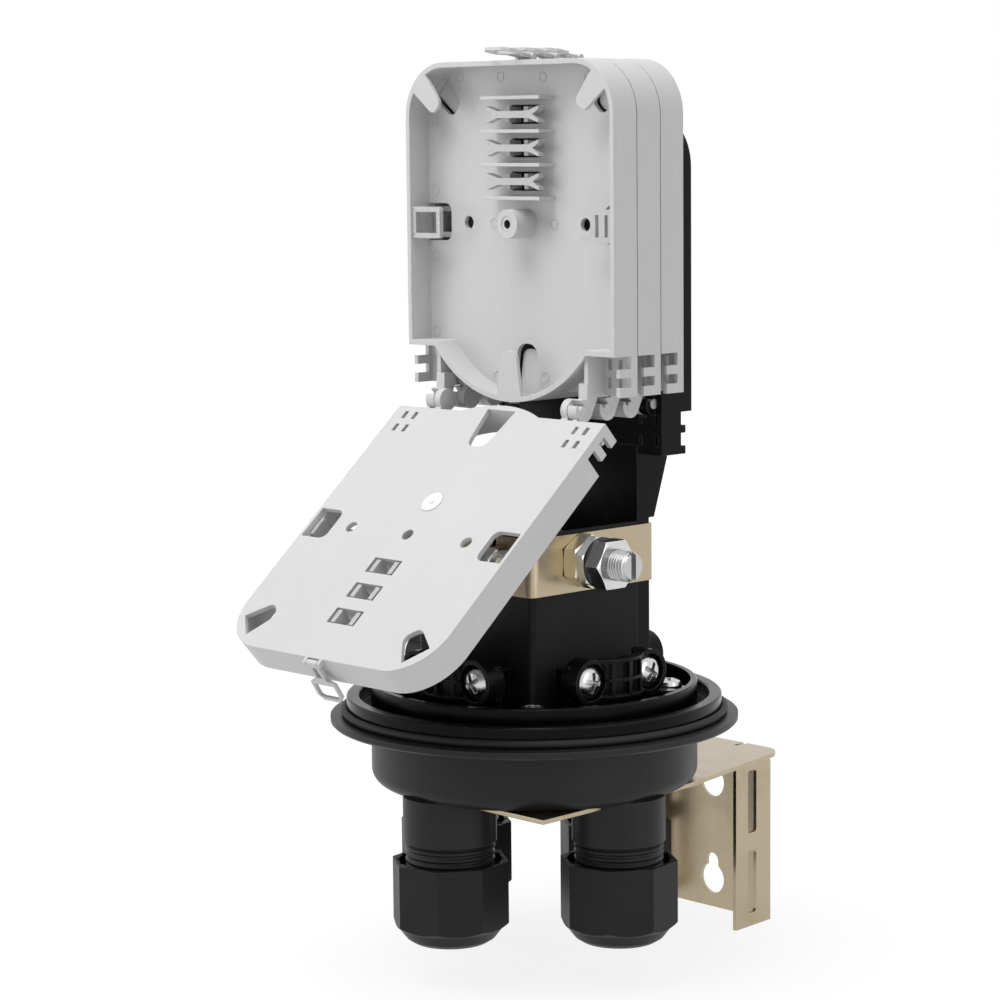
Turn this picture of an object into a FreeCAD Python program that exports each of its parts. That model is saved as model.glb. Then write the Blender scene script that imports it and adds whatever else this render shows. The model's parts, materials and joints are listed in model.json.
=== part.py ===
"""Dome splice closure with its cover off: base, cable ports, tower, hinged trays and wall bracket.

The origin is on the base's axis, at the top of the flange that the dome sits on. +Z is up and the
trays face -Y. Lengths are in millimetres and angles in degrees.
"""
import FreeCAD, Part
import math
import os
import Sketcher
from FreeCAD import Placement, Rotation, Vector

SIZES = {
    # base moulding, turned about Z
    "inner_ring_radius": 76.1, "inner_ring_wall": 3.1, "inner_ring_top": 15, "ring_edge": 0.6,
    "groove_width": 5.4, "groove_floor": 2, "outer_ring_wall": 5.9, "outer_ring_top": 9,
    "flange_width": 7.6, "flange_thick": 4, "flange_slope": 0.6,
    "drum_depth": 32.4, "drum_floor": 4, "drum_fillet": 7,
    "seal_section": 3.6, "seal_seat": 0.05, "seal_neck": 0.8,
    # four cable ports below the drum, one on each axis
    "port_inset": 21.7, "port_radius": 21.4, "port_bore": 17, "port_length": 21,
    "thread_radius": 20.5, "thread_depth": 0.9, "thread_pitch": 3, "thread_length": 21,
    # gland nut, clamping ring and rubber grommet of a port
    "nut_corner_radius": 27.2, "nut_sides": 8, "nut_turn": -11.3, "nut_gap_below_drum": 29.1,
    "nut_flat_height": 30, "nut_height": 38.2, "nut_end_radius": 17.5, "nut_mouth_radius": 23.4,
    "nut_mouth_depth": 4.4, "nut_thread_depth": 16, "nut_throat_radius": 11.5, "nut_flutes": 16,
    "flute_radius": 1.1, "thread_gap": 0.3,
    "grommet_height": 13, "grommet_bore": 9, "claw_radius": 18.6, "claw_bore": 10,
    "claw_slots": 8, "claw_slot_width": 1.6, "soft_gap": 0.1,
    # bosses for the bracket bolts, on the diagonals
    "boss_inset": 13.1, "boss_radius": 6.2, "boss_top": 8.5,
    "bolt_radius": 3, "bolt_hole_gap": 0.3, "bolt_head_radius": 6, "bolt_head_height": 4,
    "washer_radius": 8, "washer_thick": 1.6, "thread_slack": 0.05,
    # cable clamps beside the tower
    "clamp_screw_spread": 19, "clamp_screw_level": 22.5, "clamp_foot": 47, "clamp_ear_radius": 10.4,
    "clamp_ear_bore": 8.4, "clamp_ear_depth": 10, "clamp_ear_floor": 3.4, "clamp_bottom": 14,
    "clamp_top": 32, "clamp_arch_centre": 40, "clamp_arch_radius": 20, "clamp_wall": 2,
    "clamp_rib": 2.4, "clamp_rib_thick": 1.4, "post_width": 11, "post_thick": 6.6,
    "clamp_head_radius": 7, "clamp_head_height": 4.6, "clamp_shank_radius": 2.6,
    "cross_width": 1.5, "cross_length": 7, "cross_depth": 2,
    # tower and the stem of the tray holder
    "tower_half": 38.1, "tower_wall": 3, "tower_top": 89, "tower_corner": 3, "tower_back": 30.2,
    "rib_thick": 2, "rib_reach": 9,
    # clamp band round the tower
    "band_low": 61, "band_high": 87.5, "band_thick": 1.2, "lug_reach": 12, "lug_height": 15,
    "lug_gap": 3, "lug_place": 15.4, "band_bolt_radius": 4, "band_nut_flats": 13,
    "band_nut_height": 6.5, "band_bolt_gap": 0.3, "band_bolt_level": 75.4,
    # earth stud through the tower's right wall
    "stud_radius": 7, "stud_side": -8.5, "stud_level": 75.3, "stud_flats": 21.6, "stud_end": 72.6,
    "stud_head_height": 8, "stud_slot_width": 3, "stud_slot_depth": 4, "stud_chamfer": 1.4,
    "inner_nut_height": 8, "lock_nut_height": 5.4, "stud_washer_thick": 1.2,
    "stud_washer_radius": 11.6, "outer_nut_height": 8.5, "nut_bevel": 1.3,
    # splice trays, all alike
    "tray_half": 67.45, "tray_top": 299.7, "tray_corner": 25, "tray_depth": 14.6, "tray_pitch": 15.1,
    "tray_front": -14.76, "tray_floor": 2.3, "tray_wall": 2.4, "wall_end": 168.5,
    "tray_bottom": 150.4, "arc_radius": 63.5, "arc_bottom": 145, "block_half": 49.5,
    "comb_spine": 4, "comb_reach": 11, "tooth_one_top": 163, "tooth_one_low": 159,
    "tooth_two_top": 154.8, "slot_inset": 9.2, "slot_pitch": 6.7, "slot_width": 2.4,
    "slot_height": 4.6, "slot_rise": 8.2, "slot_first": 153.6,
    "hinge_back": 0.9, "hinge_level": 143.9, "hook_radius": 5.2, "hook_width": 5.4,
    "pin_radius": 2.3, "pin_gap": 0.06, "disc_width": 4, "hinge_side_gap": 0.5, "hook_mouth": 3.4,
    "fold": 131,
    "insert_boss_radius": 6.7, "insert_level": 226, "insert_radius": 3.6, "insert_bore": 2,
    "floor_hole_radius": 3, "floor_hole_reach": 38,
    "splice_rib_half": 19, "splice_rib_top": 283, "splice_rib_thick": 1.6, "splice_rib_inset": 2.2,
    "clip_half": 17, "clip_height": 8.6, "clip_depth": 8.5, "clip_wall": 1.3, "clip_window": 9,
    "finger_length": 14.5, "finger_root": 12, "finger_tip": 7.4, "finger_thick": 1.8,
    "finger_corner": 11, "slot_margin": 1,
    "side_clip_reach": 19, "side_clip_height": 14.6, "side_clip_bar": 2.4, "side_clip_thick": 2.2,
    "side_window_reach": 17.5, "side_window_height": 17.4, "window_corner": 4,
    "tongue_root": 16.4, "tongue_tip": 9.6, "tongue_length": 23.5, "tongue_window_top": 26,
    "gate_disc_radius": 5.6, "gate_disc_height": 0.3, "gate_disc_level": 206,
    # link latch hinged on the rear edge of each tray's top
    "latch_back": 13.2, "latch_level": 301.4, "latch_tilt": 9, "latch_thick": 1.6,
    "latch_root_half": 3.4, "latch_root_length": 9, "latch_half": 8.2, "latch_bar": 1.7,
    "latch_length": 21.2, "latch_barrel": 1.4, "latch_pin": 0.8, "latch_pin_gap": 0.05,
    "latch_lug_gap": 0.4, "latch_lug_width": 1.8,
    # tray holder behind the trays
    "holder_half": 53.5, "holder_depth": 20, "holder_top": 276.4, "holder_corner": 25,
    "holder_wall_end": 139.6, "holder_bottom": 120.2, "holder_arc_bottom": 110.4,
    "holder_tooth_one_top": 133.4, "holder_tooth_one_low": 129.9, "holder_tooth_two_top": 123.9,
    "holder_comb_spine": 12.9, "holder_comb_reach": 15.9, "holder_slot_inset": 4.2,
    "holder_slot_pitch": 9.8, "holder_slot_width": 1.7, "holder_slot_first": 124.4,
    "holder_slot_rise": 9.7, "flare_start": 90, "flare_end": 117, "stem_wall": 3,
    # wall bracket, folded from one sheet
    "sheet": 2, "plate_half": 64.4, "plate_front": 58.2, "plate_side_half": 61,
    "plate_side_end": 42, "plate_rear": 126, "plate_rear_half": 43.9, "plate_corner": 12,
    "cut_corner_side": 18, "cut_corner_front": 18, "port_clearance": 0.8,
    "bend_half": 19, "bend_notch": 2.5, "bend_notch_depth": 8, "back_drop": 3.6,
    "back_half": 36.5, "back_bottom": 118.5, "back_corner": 4, "keyhole_radius": 7.7,
    "keyhole_slot": 4, "keyhole_rise": 13, "keyhole_low": 104, "keyhole_pitch": 49.4,
    "wing_reach": 28, "wing_splay": 5, "strap_slot_width": 7, "strap_slot_corner": 1.5,
    "strap_slot_length": 31, "strap_slot_top": 41, "strap_slot_pitch": 40, "strap_slot_back": 15,
    # clearance between pieces that only pass each other
    "pass_gap": 0.3,
}

doc = FreeCAD.newDocument("Closure")
sheet = doc.addObject("Spreadsheet::Sheet", "Dims")
for row, (alias, number) in enumerate(SIZES.items(), start=1):
    cell = "A%d" % row
    sheet.set(cell, str(number))
    sheet.setAlias(cell, alias)
doc.recompute()


class Size:
    """A length or angle together with the formula that gives it from the sheet."""

    def __init__(self, number, formula):
        self.number = number
        self.formula = formula

    def joined(self, other, sign, swap=False):
        other = size(other)
        first, last = (other, self) if swap else (self, other)
        worked = {
            "+": lambda a, b: a + b,
            "-": lambda a, b: a - b,
            "*": lambda a, b: a * b,
            "/": lambda a, b: a / b,
        }[sign](first.number, last.number)
        return Size(worked, "(%s %s %s)" % (first.formula, sign, last.formula))

    def __add__(self, other):
        return self.joined(other, "+")

    def __radd__(self, other):
        return self.joined(other, "+", True)

    def __sub__(self, other):
        return self.joined(other, "-")

    def __rsub__(self, other):
        return self.joined(other, "-", True)

    def __mul__(self, other):
        return self.joined(other, "*")

    def __rmul__(self, other):
        return self.joined(other, "*", True)

    def __truediv__(self, other):
        return self.joined(other, "/")

    def __neg__(self):
        return 0 - self


def size(value):
    return value if isinstance(value, Size) else Size(float(value), repr(float(value)))


def root(value):
    return Size(math.sqrt(value.number), "sqrt(%s)" % value.formula)


def sine(value):
    return Size(math.sin(math.radians(value.number)), "sin(%s)" % value.formula)


def cosine(value):
    return Size(math.cos(math.radians(value.number)), "cos(%s)" % value.formula)


class Dimensions:
    """Reads a cell by its alias, as a number that remembers the cell."""

    def __getattr__(self, alias):
        return Size(float(sheet.get(alias)), "Dims." + alias)


d = Dimensions()
INNER_BORE = d.inner_ring_radius - d.inner_ring_wall
OUTER_BORE = d.inner_ring_radius + d.groove_width
OUTER_RING = OUTER_BORE + d.outer_ring_wall
FLANGE = OUTER_RING + d.flange_width
PORT_CIRCLE = d.inner_ring_radius - d.port_inset
BOSS_CIRCLE = d.inner_ring_radius - d.boss_inset
X_AXIS, Y_AXIS, Z_AXIS = Vector(1, 0, 0), Vector(0, 1, 0), Vector(0, 0, 1)
ALONG = {"x": Rotation(Y_AXIS, 90), "y": Rotation(X_AXIS, -90), "z": Rotation()}


def bind(thing, **formulas):
    for prop, value in formulas.items():
        thing.setExpression(prop, size(value).formula)
    return thing


def put(thing, at):
    for letter, value in zip("xyz", at):
        thing.setExpression("Placement.Base." + letter, size(value).formula)
    return thing


def block(name, low, high):
    """A box between two opposite corners."""
    thing = doc.addObject("Part::Box", name)
    spans = [size(b) - a for a, b in zip(low, high)]
    bind(thing, Length=spans[0], Width=spans[1], Height=spans[2])
    return put(thing, low)


def rod(name, radius, length, at, along="z"):
    """A cylinder that starts at a point and runs along an axis."""
    thing = doc.addObject("Part::Cylinder", name)
    thing.Placement = Placement(Vector(), ALONG[along])
    bind(thing, Radius=radius, Height=length)
    return put(thing, at)


def prism(name, sides, corner_radius, height, at, along="z", spin=0):
    """A regular prism, turned about its own axis by spin."""
    thing = doc.addObject("Part::Prism", name)
    thing.Placement = Placement(Vector(), ALONG[along] * Rotation(Z_AXIS, spin))
    thing.setExpression("Polygon", size(sides).formula)
    bind(thing, Circumradius=corner_radius, Height=height)
    return put(thing, at)


def fuse(name, parts):
    thing = doc.addObject("Part::MultiFuse", name)
    thing.Shapes = list(parts)
    thing.Refine = True
    return thing


def cut(name, base, tools):
    tools = list(tools)
    thing = doc.addObject("Part::Cut", name)
    thing.Base = base
    thing.Tool = tools[0] if len(tools) == 1 else fuse(name + "_tools", tools)
    thing.Refine = True
    return thing


def common(name, parts):
    thing = doc.addObject("Part::MultiCommon", name)
    thing.Shapes = list(parts)
    thing.Refine = True
    return thing


def copy(name, source, at=(0, 0, 0), turn=0, axis=Z_AXIS):
    """The source's shape again at another place, turned about an axis through its origin."""
    thing = doc.addObject("Part::Compound", name)
    thing.Links = [source] if not isinstance(source, list) else source
    thing.Placement = Placement(Vector(), Rotation(axis, size(turn).number))
    thing.setExpression("Placement.Rotation.Angle", size(turn).formula)
    return put(thing, at)


def sketch_in(body, role, corners, offset=0):
    """A closed outline of straight lines on one of the body's own planes."""
    sketch = body.newObject("Sketcher::SketchObject", body.Name + "_outline")
    plane = next(item for item in body.Origin.OriginFeatures if item.Role == role)
    sketch.AttachmentSupport = [(plane, "")]
    sketch.MapMode = "FlatFace"
    sketch.setExpression("AttachmentOffset.Base.z", size(offset).formula)
    corners = [(size(across), size(up)) for across, up in corners]
    points = [Vector(across.number, up.number, 0) for across, up in corners]
    for index, point in enumerate(points):
        following = points[(index + 1) % len(points)]
        sketch.addGeometry(Part.LineSegment(point, following), False)
    for index in range(len(points)):
        joint = Sketcher.Constraint("Coincident", index, 2, (index + 1) % len(points), 1)
        sketch.addConstraint(joint)
    for index, (across, up) in enumerate(corners):
        for kind, value in (("DistanceX", across), ("DistanceY", up)):
            rule = Sketcher.Constraint(kind, -1, 1, index, 1, value.number)
            place = sketch.addConstraint(rule)
            sketch.setExpression("Constraints[%d]" % place, value.formula)
    return sketch


def slab(name, role, corners, low, high):
    """An outline carried from one level to another, square to its plane."""
    body = doc.addObject("PartDesign::Body", name)
    faces_back = role == "XZ_Plane"
    sketch = sketch_in(body, role, corners, -size(high) if faces_back else low)
    pad = body.newObject("PartDesign::Pad", name + "_pad")
    pad.Profile = sketch
    bind(pad, Length=size(high) - low)
    doc.recompute()
    return body


def turned(name, corners):
    """An outline of radius and height turned about Z."""
    body = doc.addObject("PartDesign::Body", name)
    sketch = sketch_in(body, "XZ_Plane", corners)
    turn = body.newObject("PartDesign::Revolution", name + "_turn")
    turn.Profile = sketch
    turn.ReferenceAxis = (sketch, ["V_Axis"])
    turn.Angle = 360
    doc.recompute()
    return body


def rounded(body, radius, **wanted):
    """Rounds the edges whose two ends both lie at one and the same set of wanted coordinates."""
    tip = body.Tip
    names = []
    for number, edge in enumerate(tip.Shape.Edges, start=1):
        ends = [vertex.Point for vertex in edge.Vertexes]
        level = all(
            abs(getattr(ends[0], letter) - getattr(ends[-1], letter)) < 0.01 for letter in wanted)
        if level and all(near(end, **wanted) for end in ends):
            names.append("Edge%d" % number)
    fillet = body.newObject("PartDesign::Fillet", body.Name + "_fillet")
    fillet.Base = (tip, names)
    bind(fillet, Radius=radius)
    doc.recompute()
    return body


def near(point, **wanted):
    """True where a point has the wanted coordinates, each one or either of two signs."""
    return all(
        min(abs(getattr(point, letter) - size(value).number) for value in values) < 0.01
        for letter, values in wanted.items()
    )


def across_flats(flats):
    """Corner radius of a hexagon from its width across flats."""
    return flats / math.sqrt(3)


QUARTERS = {"front": 270, "right": 0, "back": 90, "left": 180}
nodes = {}


def node(name, thing):
    """Marks an object as a finished piece with the name of its file."""
    thing.Label = name
    nodes[name] = thing


def make_base():
    drum = turned("drum", [
        (0, -d.drum_depth), (d.inner_ring_radius, -d.drum_depth),
        (d.inner_ring_radius, -d.flange_thick), (FLANGE - 1, -d.flange_thick),
        (FLANGE, -d.flange_thick + 1), (FLANGE, -d.flange_slope),
        (OUTER_RING - d.seal_neck, 0), (OUTER_RING - d.seal_neck, d.seal_section + 0.2),
        (OUTER_RING, d.seal_section + 0.3), (OUTER_RING, d.outer_ring_top - d.ring_edge),
        (OUTER_RING - d.ring_edge, d.outer_ring_top),
        (OUTER_BORE + d.ring_edge, d.outer_ring_top),
        (OUTER_BORE, d.outer_ring_top - d.ring_edge),
        (OUTER_BORE, d.groove_floor), (d.inner_ring_radius, d.groove_floor),
        (d.inner_ring_radius, d.inner_ring_top - d.ring_edge),
        (d.inner_ring_radius - d.ring_edge, d.inner_ring_top),
        (INNER_BORE, d.inner_ring_top),
        (INNER_BORE, d.drum_floor - d.drum_depth), (0, d.drum_floor - d.drum_depth),
    ])
    rounded(drum, d.drum_fillet, x=[-d.inner_ring_radius, d.inner_ring_radius], z=[-d.drum_depth])
    thread = []
    turns = int(round(SIZES["thread_length"] / SIZES["thread_pitch"]))
    port_end = -d.drum_depth - d.port_length
    for step in range(turns):
        top = port_end - step * d.thread_pitch
        thread += [
            (d.thread_radius - d.thread_depth, top - d.thread_pitch * 0.1),
            (d.thread_radius, top - d.thread_pitch * 0.4),
            (d.thread_radius, top - d.thread_pitch * 0.65),
            (d.thread_radius - d.thread_depth, top - d.thread_pitch * 0.95),
        ]
    low = port_end - d.thread_length
    port = turned("port", [
        (d.port_radius, 1 - d.drum_depth), (d.port_radius, port_end + 1),
        (d.port_radius - 1, port_end), (d.thread_radius - d.thread_depth, port_end),
    ] + thread + [
        (d.thread_radius - d.thread_depth, low), (d.port_bore, low),
        (d.port_bore, 1 - d.drum_depth),
    ])
    bore = rod("port_bore", d.port_bore, d.drum_floor + 2, (0, 0, -d.drum_depth - 1))
    boss = rod("boss", d.boss_radius, d.boss_top + d.drum_depth - 1, (0, 0, 1 - d.drum_depth))
    hole = rod("boss_hole", d.bolt_radius + d.bolt_hole_gap, d.boss_top + d.drum_depth + 2,
               (0, 0, -d.drum_depth - 1))
    post = block(
        "post",
        (d.clamp_foot - d.post_thick, d.clamp_screw_spread - d.post_width / 2 + 1.2,
         1 - d.drum_depth),
        (d.clamp_foot, d.clamp_screw_spread + d.post_width / 2 + 1.2,
         d.clamp_screw_level + d.post_width / 2),
    )
    post_hole = rod("post_hole", d.clamp_shank_radius + d.thread_slack, d.post_thick + 2,
                    (d.clamp_foot - d.post_thick - 1, d.clamp_screw_spread, d.clamp_screw_level),
                    "x")
    mirrored = Placement(Vector(), Rotation(X_AXIS, 180))
    solids, tools = [drum], []
    for side, angle in QUARTERS.items():
        place = radial(PORT_CIRCLE, angle)
        solids.append(copy("port_" + side, port, place))
        tools.append(copy("port_bore_" + side, bore, place))
        diagonal = radial(BOSS_CIRCLE, angle + 45)
        solids.append(copy("boss_" + side, boss, diagonal))
        tools.append(copy("boss_hole_" + side, hole, diagonal))
        solids.append(copy("post_a_" + side, post, turn=angle))
        tools.append(copy("post_hole_a_" + side, post_hole, turn=angle))
        offset = 2 * d.clamp_screw_spread
        shifted = quarter_turn(0, -offset - 2.4, angle)
        solids.append(copy("post_b_" + side, post, shifted + (0,), turn=angle))
        shifted = quarter_turn(0, -offset, angle)
        tools.append(copy("post_hole_b_" + side, post_hole, shifted + (0,), turn=angle))
    node("base_housing", cut("base_cut", fuse("base_solid", solids), tools))
    section = d.seal_section / 2
    ring = doc.addObject("Part::Torus", "seal")
    bind(ring, Radius1=OUTER_RING - d.seal_neck + section + d.seal_seat, Radius2=section)
    put(ring, (0, 0, section + d.seal_seat))
    node("dome_seal_ring", ring)


def radial(radius, angle):
    """The point at a radius and a fixed compass angle, at height zero."""
    cos, sin = math.cos(math.radians(angle)), math.sin(math.radians(angle))
    return (radius * round(cos, 9), radius * round(sin, 9), 0)


def quarter_turn(across, along, angle):
    """A point of the XY plane turned by whole quarter turns."""
    cos, sin = round(math.cos(math.radians(angle))), round(math.sin(math.radians(angle)))
    return (size(across) * cos - size(along) * sin, size(across) * sin + size(along) * cos)


def make_glands():
    top = -d.drum_depth - d.nut_gap_below_drum
    bottom = top - d.nut_height
    flat_end = top - d.nut_flat_height
    bore = d.thread_radius + d.thread_gap
    shell = turned("nut_shell", [
        (d.nut_mouth_radius, top), (d.nut_corner_radius + 1, top),
        (d.nut_corner_radius + 1, flat_end + 2), (d.nut_corner_radius - 3, flat_end - 1),
        (d.nut_end_radius + 3, bottom + 2.4), (d.nut_end_radius, bottom + 0.5),
        (d.nut_end_radius - 3, bottom), (d.nut_throat_radius, bottom),
        (d.nut_throat_radius, bottom + 3), (d.claw_radius - 2, bottom + 9),
        (d.claw_radius + d.pass_gap, bottom + 12), (d.claw_radius + d.pass_gap, top - d.nut_thread_depth),
        (bore, top - d.nut_thread_depth), (bore, top - d.nut_mouth_depth),
        (d.nut_mouth_radius, top - d.nut_mouth_depth),
    ])
    octagon = prism("nut_octagon", d.nut_sides, d.nut_corner_radius, d.nut_height + 2,
                    (0, 0, bottom - 1), spin=SIZES["nut_turn"])
    flute = rod("flute", d.flute_radius, d.nut_mouth_depth + 1,
                (d.nut_mouth_radius, 0, top - d.nut_mouth_depth))
    count = int(SIZES["nut_flutes"])
    flutes = [copy("flute_%d" % step, flute, turn=360 * step / count) for step in range(count)]
    nut = cut("nut_master", common("nut_blank", [shell, octagon]), flutes)
    thread_end = -d.drum_depth - d.port_length - d.thread_length
    grommet_top = thread_end + d.grommet_height - 2
    grommet = turned("grommet_master", [
        (d.grommet_bore, grommet_top), (d.port_bore - d.soft_gap - 1, grommet_top),
        (d.port_bore - d.soft_gap, grommet_top - 1),
        (d.port_bore - d.soft_gap, thread_end - 2), (d.grommet_bore, thread_end - 2),
    ])
    claw_top = thread_end - 2 - d.pass_gap
    claw_low = bottom + 9 + d.pass_gap
    ring = turned("claw_ring", [
        (d.claw_bore, claw_top), (d.claw_radius - 1, claw_top), (d.claw_radius, claw_top - 1),
        (d.claw_radius, claw_low + 3), (d.claw_radius - 2.3, claw_low), (d.claw_bore, claw_low),
    ])
    slot = block("claw_slot", (d.claw_bore - 2, -d.claw_slot_width / 2, claw_low - 1),
                 (d.claw_radius + 1, d.claw_slot_width / 2, claw_top - 3))
    count = int(SIZES["claw_slots"])
    claw = cut("claw_master", ring, [
        copy("claw_slot_%d" % step, slot, turn=360 * step / count) for step in range(count)])
    for side, angle in QUARTERS.items():
        place = radial(PORT_CIRCLE, angle)
        node("gland_nut_" + side, copy("nut_" + side, nut, place))
        node("gland_claw_" + side, copy("claw_" + side, claw, place))
        node("gland_grommet_" + side, copy("grommet_" + side, grommet, place))


def screw(name, head_radius, head_height, shank_radius, shank_length):
    """A pan-head screw along -Z from a head that stands on height zero, with a cross recess."""
    head = turned(name + "_head", [
        (0, 0), (head_radius, 0), (head_radius, head_height * 0.35),
        (head_radius * 0.86, head_height * 0.75), (head_radius * 0.5, head_height), (0, head_height),
    ])
    shank = rod(name + "_shank", shank_radius, shank_length + 0.5, (0, 0, -shank_length))
    arms = []
    for letter, turn in (("a", 45), ("b", 135)):
        arm = block(name + "_arm_" + letter, (-d.cross_length / 2, -d.cross_width / 2, -d.cross_depth),
                    (d.cross_length / 2, d.cross_width / 2, 1))
        arms.append(copy(name + "_cross_" + letter, arm, (0, 0, head_height), turn))
    return cut(name, fuse(name + "_solid", [head, shank]), arms)


def make_clamps():
    screw_y = d.clamp_screw_spread
    ears, bores = [], []
    for letter, side in (("a", 1), ("b", -1)):
        at = (d.clamp_foot, side * screw_y, d.clamp_screw_level)
        ears.append(rod("ear_" + letter, d.clamp_ear_radius, d.clamp_ear_depth, at, "x"))
        seat = (d.clamp_foot + d.clamp_ear_floor,) + at[1:]
        bores.append(rod("ear_bore_" + letter, d.clamp_ear_bore, d.clamp_ear_depth, seat, "x"))
        through = (d.clamp_foot - 1,) + at[1:]
        bores.append(rod("ear_hole_" + letter, d.clamp_shank_radius + d.pass_gap,
                         d.clamp_ear_depth, through, "x"))
    centre = (d.clamp_arch_centre, 0, d.clamp_bottom)
    height = d.clamp_top - d.clamp_bottom
    outer = d.clamp_arch_radius + d.clamp_rib
    web = rod("arch_web", d.clamp_arch_radius, height, centre)
    rims = [
        rod("arch_rim_%d" % number, outer, d.clamp_rib_thick, centre[:2] + (level,))
        for number, level in enumerate((d.clamp_bottom, d.clamp_screw_level - d.clamp_rib_thick / 2,
                                        d.clamp_top - d.clamp_rib_thick))
    ]
    ribs = []
    for number, angle in enumerate((-24, 0, 24)):
        rib = block("arch_rib_%d" % number, (0, -d.clamp_rib_thick / 2, 0),
                    (outer, d.clamp_rib_thick / 2, height))
        ribs.append(copy("arch_rib_at_%d" % number, rib, centre, angle))
    arch = fuse("arch_blank", [web] + rims + ribs)
    reach = d.clamp_ear_radius + screw_y
    keep = block("arch_keep", (d.clamp_foot, -screw_y + 1, d.clamp_bottom),
                 (d.clamp_foot + 30, screw_y - 1, d.clamp_top))
    middle = common("arch_part", [arch, keep])
    feet = block("clamp_feet", (d.clamp_foot, -reach + 2, d.clamp_bottom),
                 (d.clamp_foot + d.clamp_ear_floor, reach - 2, d.clamp_top - 2))
    hollow = rod("arch_hollow", d.clamp_arch_radius - d.clamp_wall, height + 2,
                 centre[:2] + (d.clamp_bottom - 1,))
    saddle = cut("saddle_master", fuse("saddle_solid", [middle, feet] + ears), bores + [hollow])
    length = d.clamp_ear_floor + d.post_thick - 1
    upright = screw("clamp_screw", d.clamp_head_radius, d.clamp_head_height, d.clamp_shank_radius,
                    length)
    pair = []
    for letter, side in (("a", 1), ("b", -1)):
        at = (d.clamp_foot + d.clamp_ear_floor, side * screw_y, d.clamp_screw_level)
        pair.append(copy("clamp_screw_" + letter, upright, at, 90, Y_AXIS))
    for side, angle in QUARTERS.items():
        node("cable_clamp_" + side, copy("saddle_" + side, saddle, turn=angle))
    node("clamp_screws", doc_group("clamp_screw_set", [
        copy("clamp_pair_" + side, pair, turn=angle) for side, angle in QUARTERS.items()]))


def doc_group(name, parts):
    """Like pieces kept as separate solids of one node."""
    thing = doc.addObject("Part::Compound", name)
    thing.Links = parts
    return thing


def make_bracket_fasteners():
    seat = d.boss_top + d.washer_thick
    grip = seat + d.drum_depth
    bolt = screw("bracket_bolt", d.bolt_head_radius, d.bolt_head_height, d.bolt_radius,
                 grip + d.sheet)
    short_bolt = screw("short_bolt", d.bolt_head_radius, d.bolt_head_height, d.bolt_radius, grip)
    disc = rod("washer_disc", d.washer_radius, d.washer_thick, (0, 0, d.boss_top))
    hole = rod("washer_hole", d.bolt_radius + d.bolt_hole_gap, d.washer_thick + 2,
               (0, 0, d.boss_top - 1))
    washer = cut("washer", disc, [hole])
    bolts, washers = [], []
    for side, angle in QUARTERS.items():
        place = radial(BOSS_CIRCLE, angle + 45)
        # the plate has no corner under the front left boss
        source = short_bolt if side == "left" else bolt
        bolts.append(copy("bracket_bolt_" + side, source, place[:2] + (seat,)))
        washers.append(copy("bracket_washer_" + side, washer, place))
    node("bracket_bolts", doc_group("bracket_bolt_set", bolts))
    node("bracket_washers", doc_group("bracket_washer_set", washers))


def make_tower():
    half, wall = d.tower_half, d.tower_wall
    low = d.drum_floor - d.drum_depth
    outside = slab("tower_outside", "XY_Plane", [
        (-half, -half), (half, -half), (half, d.tower_back), (-half, d.tower_back)],
        low, d.tower_top)
    rounded(outside, d.tower_corner, x=[-half, half], y=[-half])
    inside = block("tower_inside", (wall - half, wall - half, low - 1),
                   (half - wall, d.tower_back - wall, d.tower_top + 1))
    stud_hole = rod("tower_stud_hole", d.stud_radius + d.pass_gap, wall + 2,
                    (half - wall - 1, d.stud_side, d.stud_level), "x")
    mouth = block("tower_mouth", (wall - half, d.tower_back - wall - 1, d.band_high - 26),
                  (half - wall, d.tower_back + 1, d.tower_top + 1))
    shell = cut("tower_shell", outside, [inside, stud_hole, mouth])
    cross = [
        block("tower_rib_%d" % number, (place - d.rib_thick / 2, wall - half, low),
              (place + d.rib_thick / 2, wall - half + d.rib_reach, d.band_low))
        for number, place in enumerate((-half / 3, half / 3))
    ]
    node("tower_housing", fuse("tower", [shell] + cross))


def tray_plate(name, half, bottom, top, corner, arc_radius, arc_bottom, low, high):
    """A flat plate with round top corners and a round belly that hangs below its straight edge."""
    plate = slab(name, "XZ_Plane", [
        (-half, bottom), (half, bottom), (half, top), (-half, top)], low, high)
    rounded(plate, corner, x=[-half, half], z=[top])
    belly = rod(name + "_belly", arc_radius, size(high) - low, (0, low, arc_bottom + arc_radius),
                "y")
    return plate, belly


def hook(name, side, y, reach_back):
    """An open hinge hook beside a tray or holder, with its mouth up and to the front."""
    width, level, radius = d.hook_width, d.hinge_level, d.hook_radius
    start = d.block_half - width if side > 0 else -d.block_half
    ring = rod(name + "_ring", radius, width, (start, y, level), "x")
    arm = slab(name + "_arm", "YZ_Plane", [
        (size(y) + 1.7, level + 3.6), (size(y) + 2.1, level + 12),
        (size(y) + reach_back, level + 12), (size(y) + reach_back, level + 6.5),
        (size(y) + 4.1, level - 3.1), (y, level - 2.4)], start, start + width)
    eye = rod(name + "_eye", d.pin_radius + d.pin_gap, width + 2, (start - 1, y, level), "x")
    mouth = block(name + "_mouth_block", (-1, -d.hook_mouth / 2, 0),
                  (width + 1, d.hook_mouth / 2, radius + 2))
    mouth_at = copy(name + "_mouth", mouth, (start, y, level), 40, X_AXIS)
    return [ring, arm], [eye, mouth_at]


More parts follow.
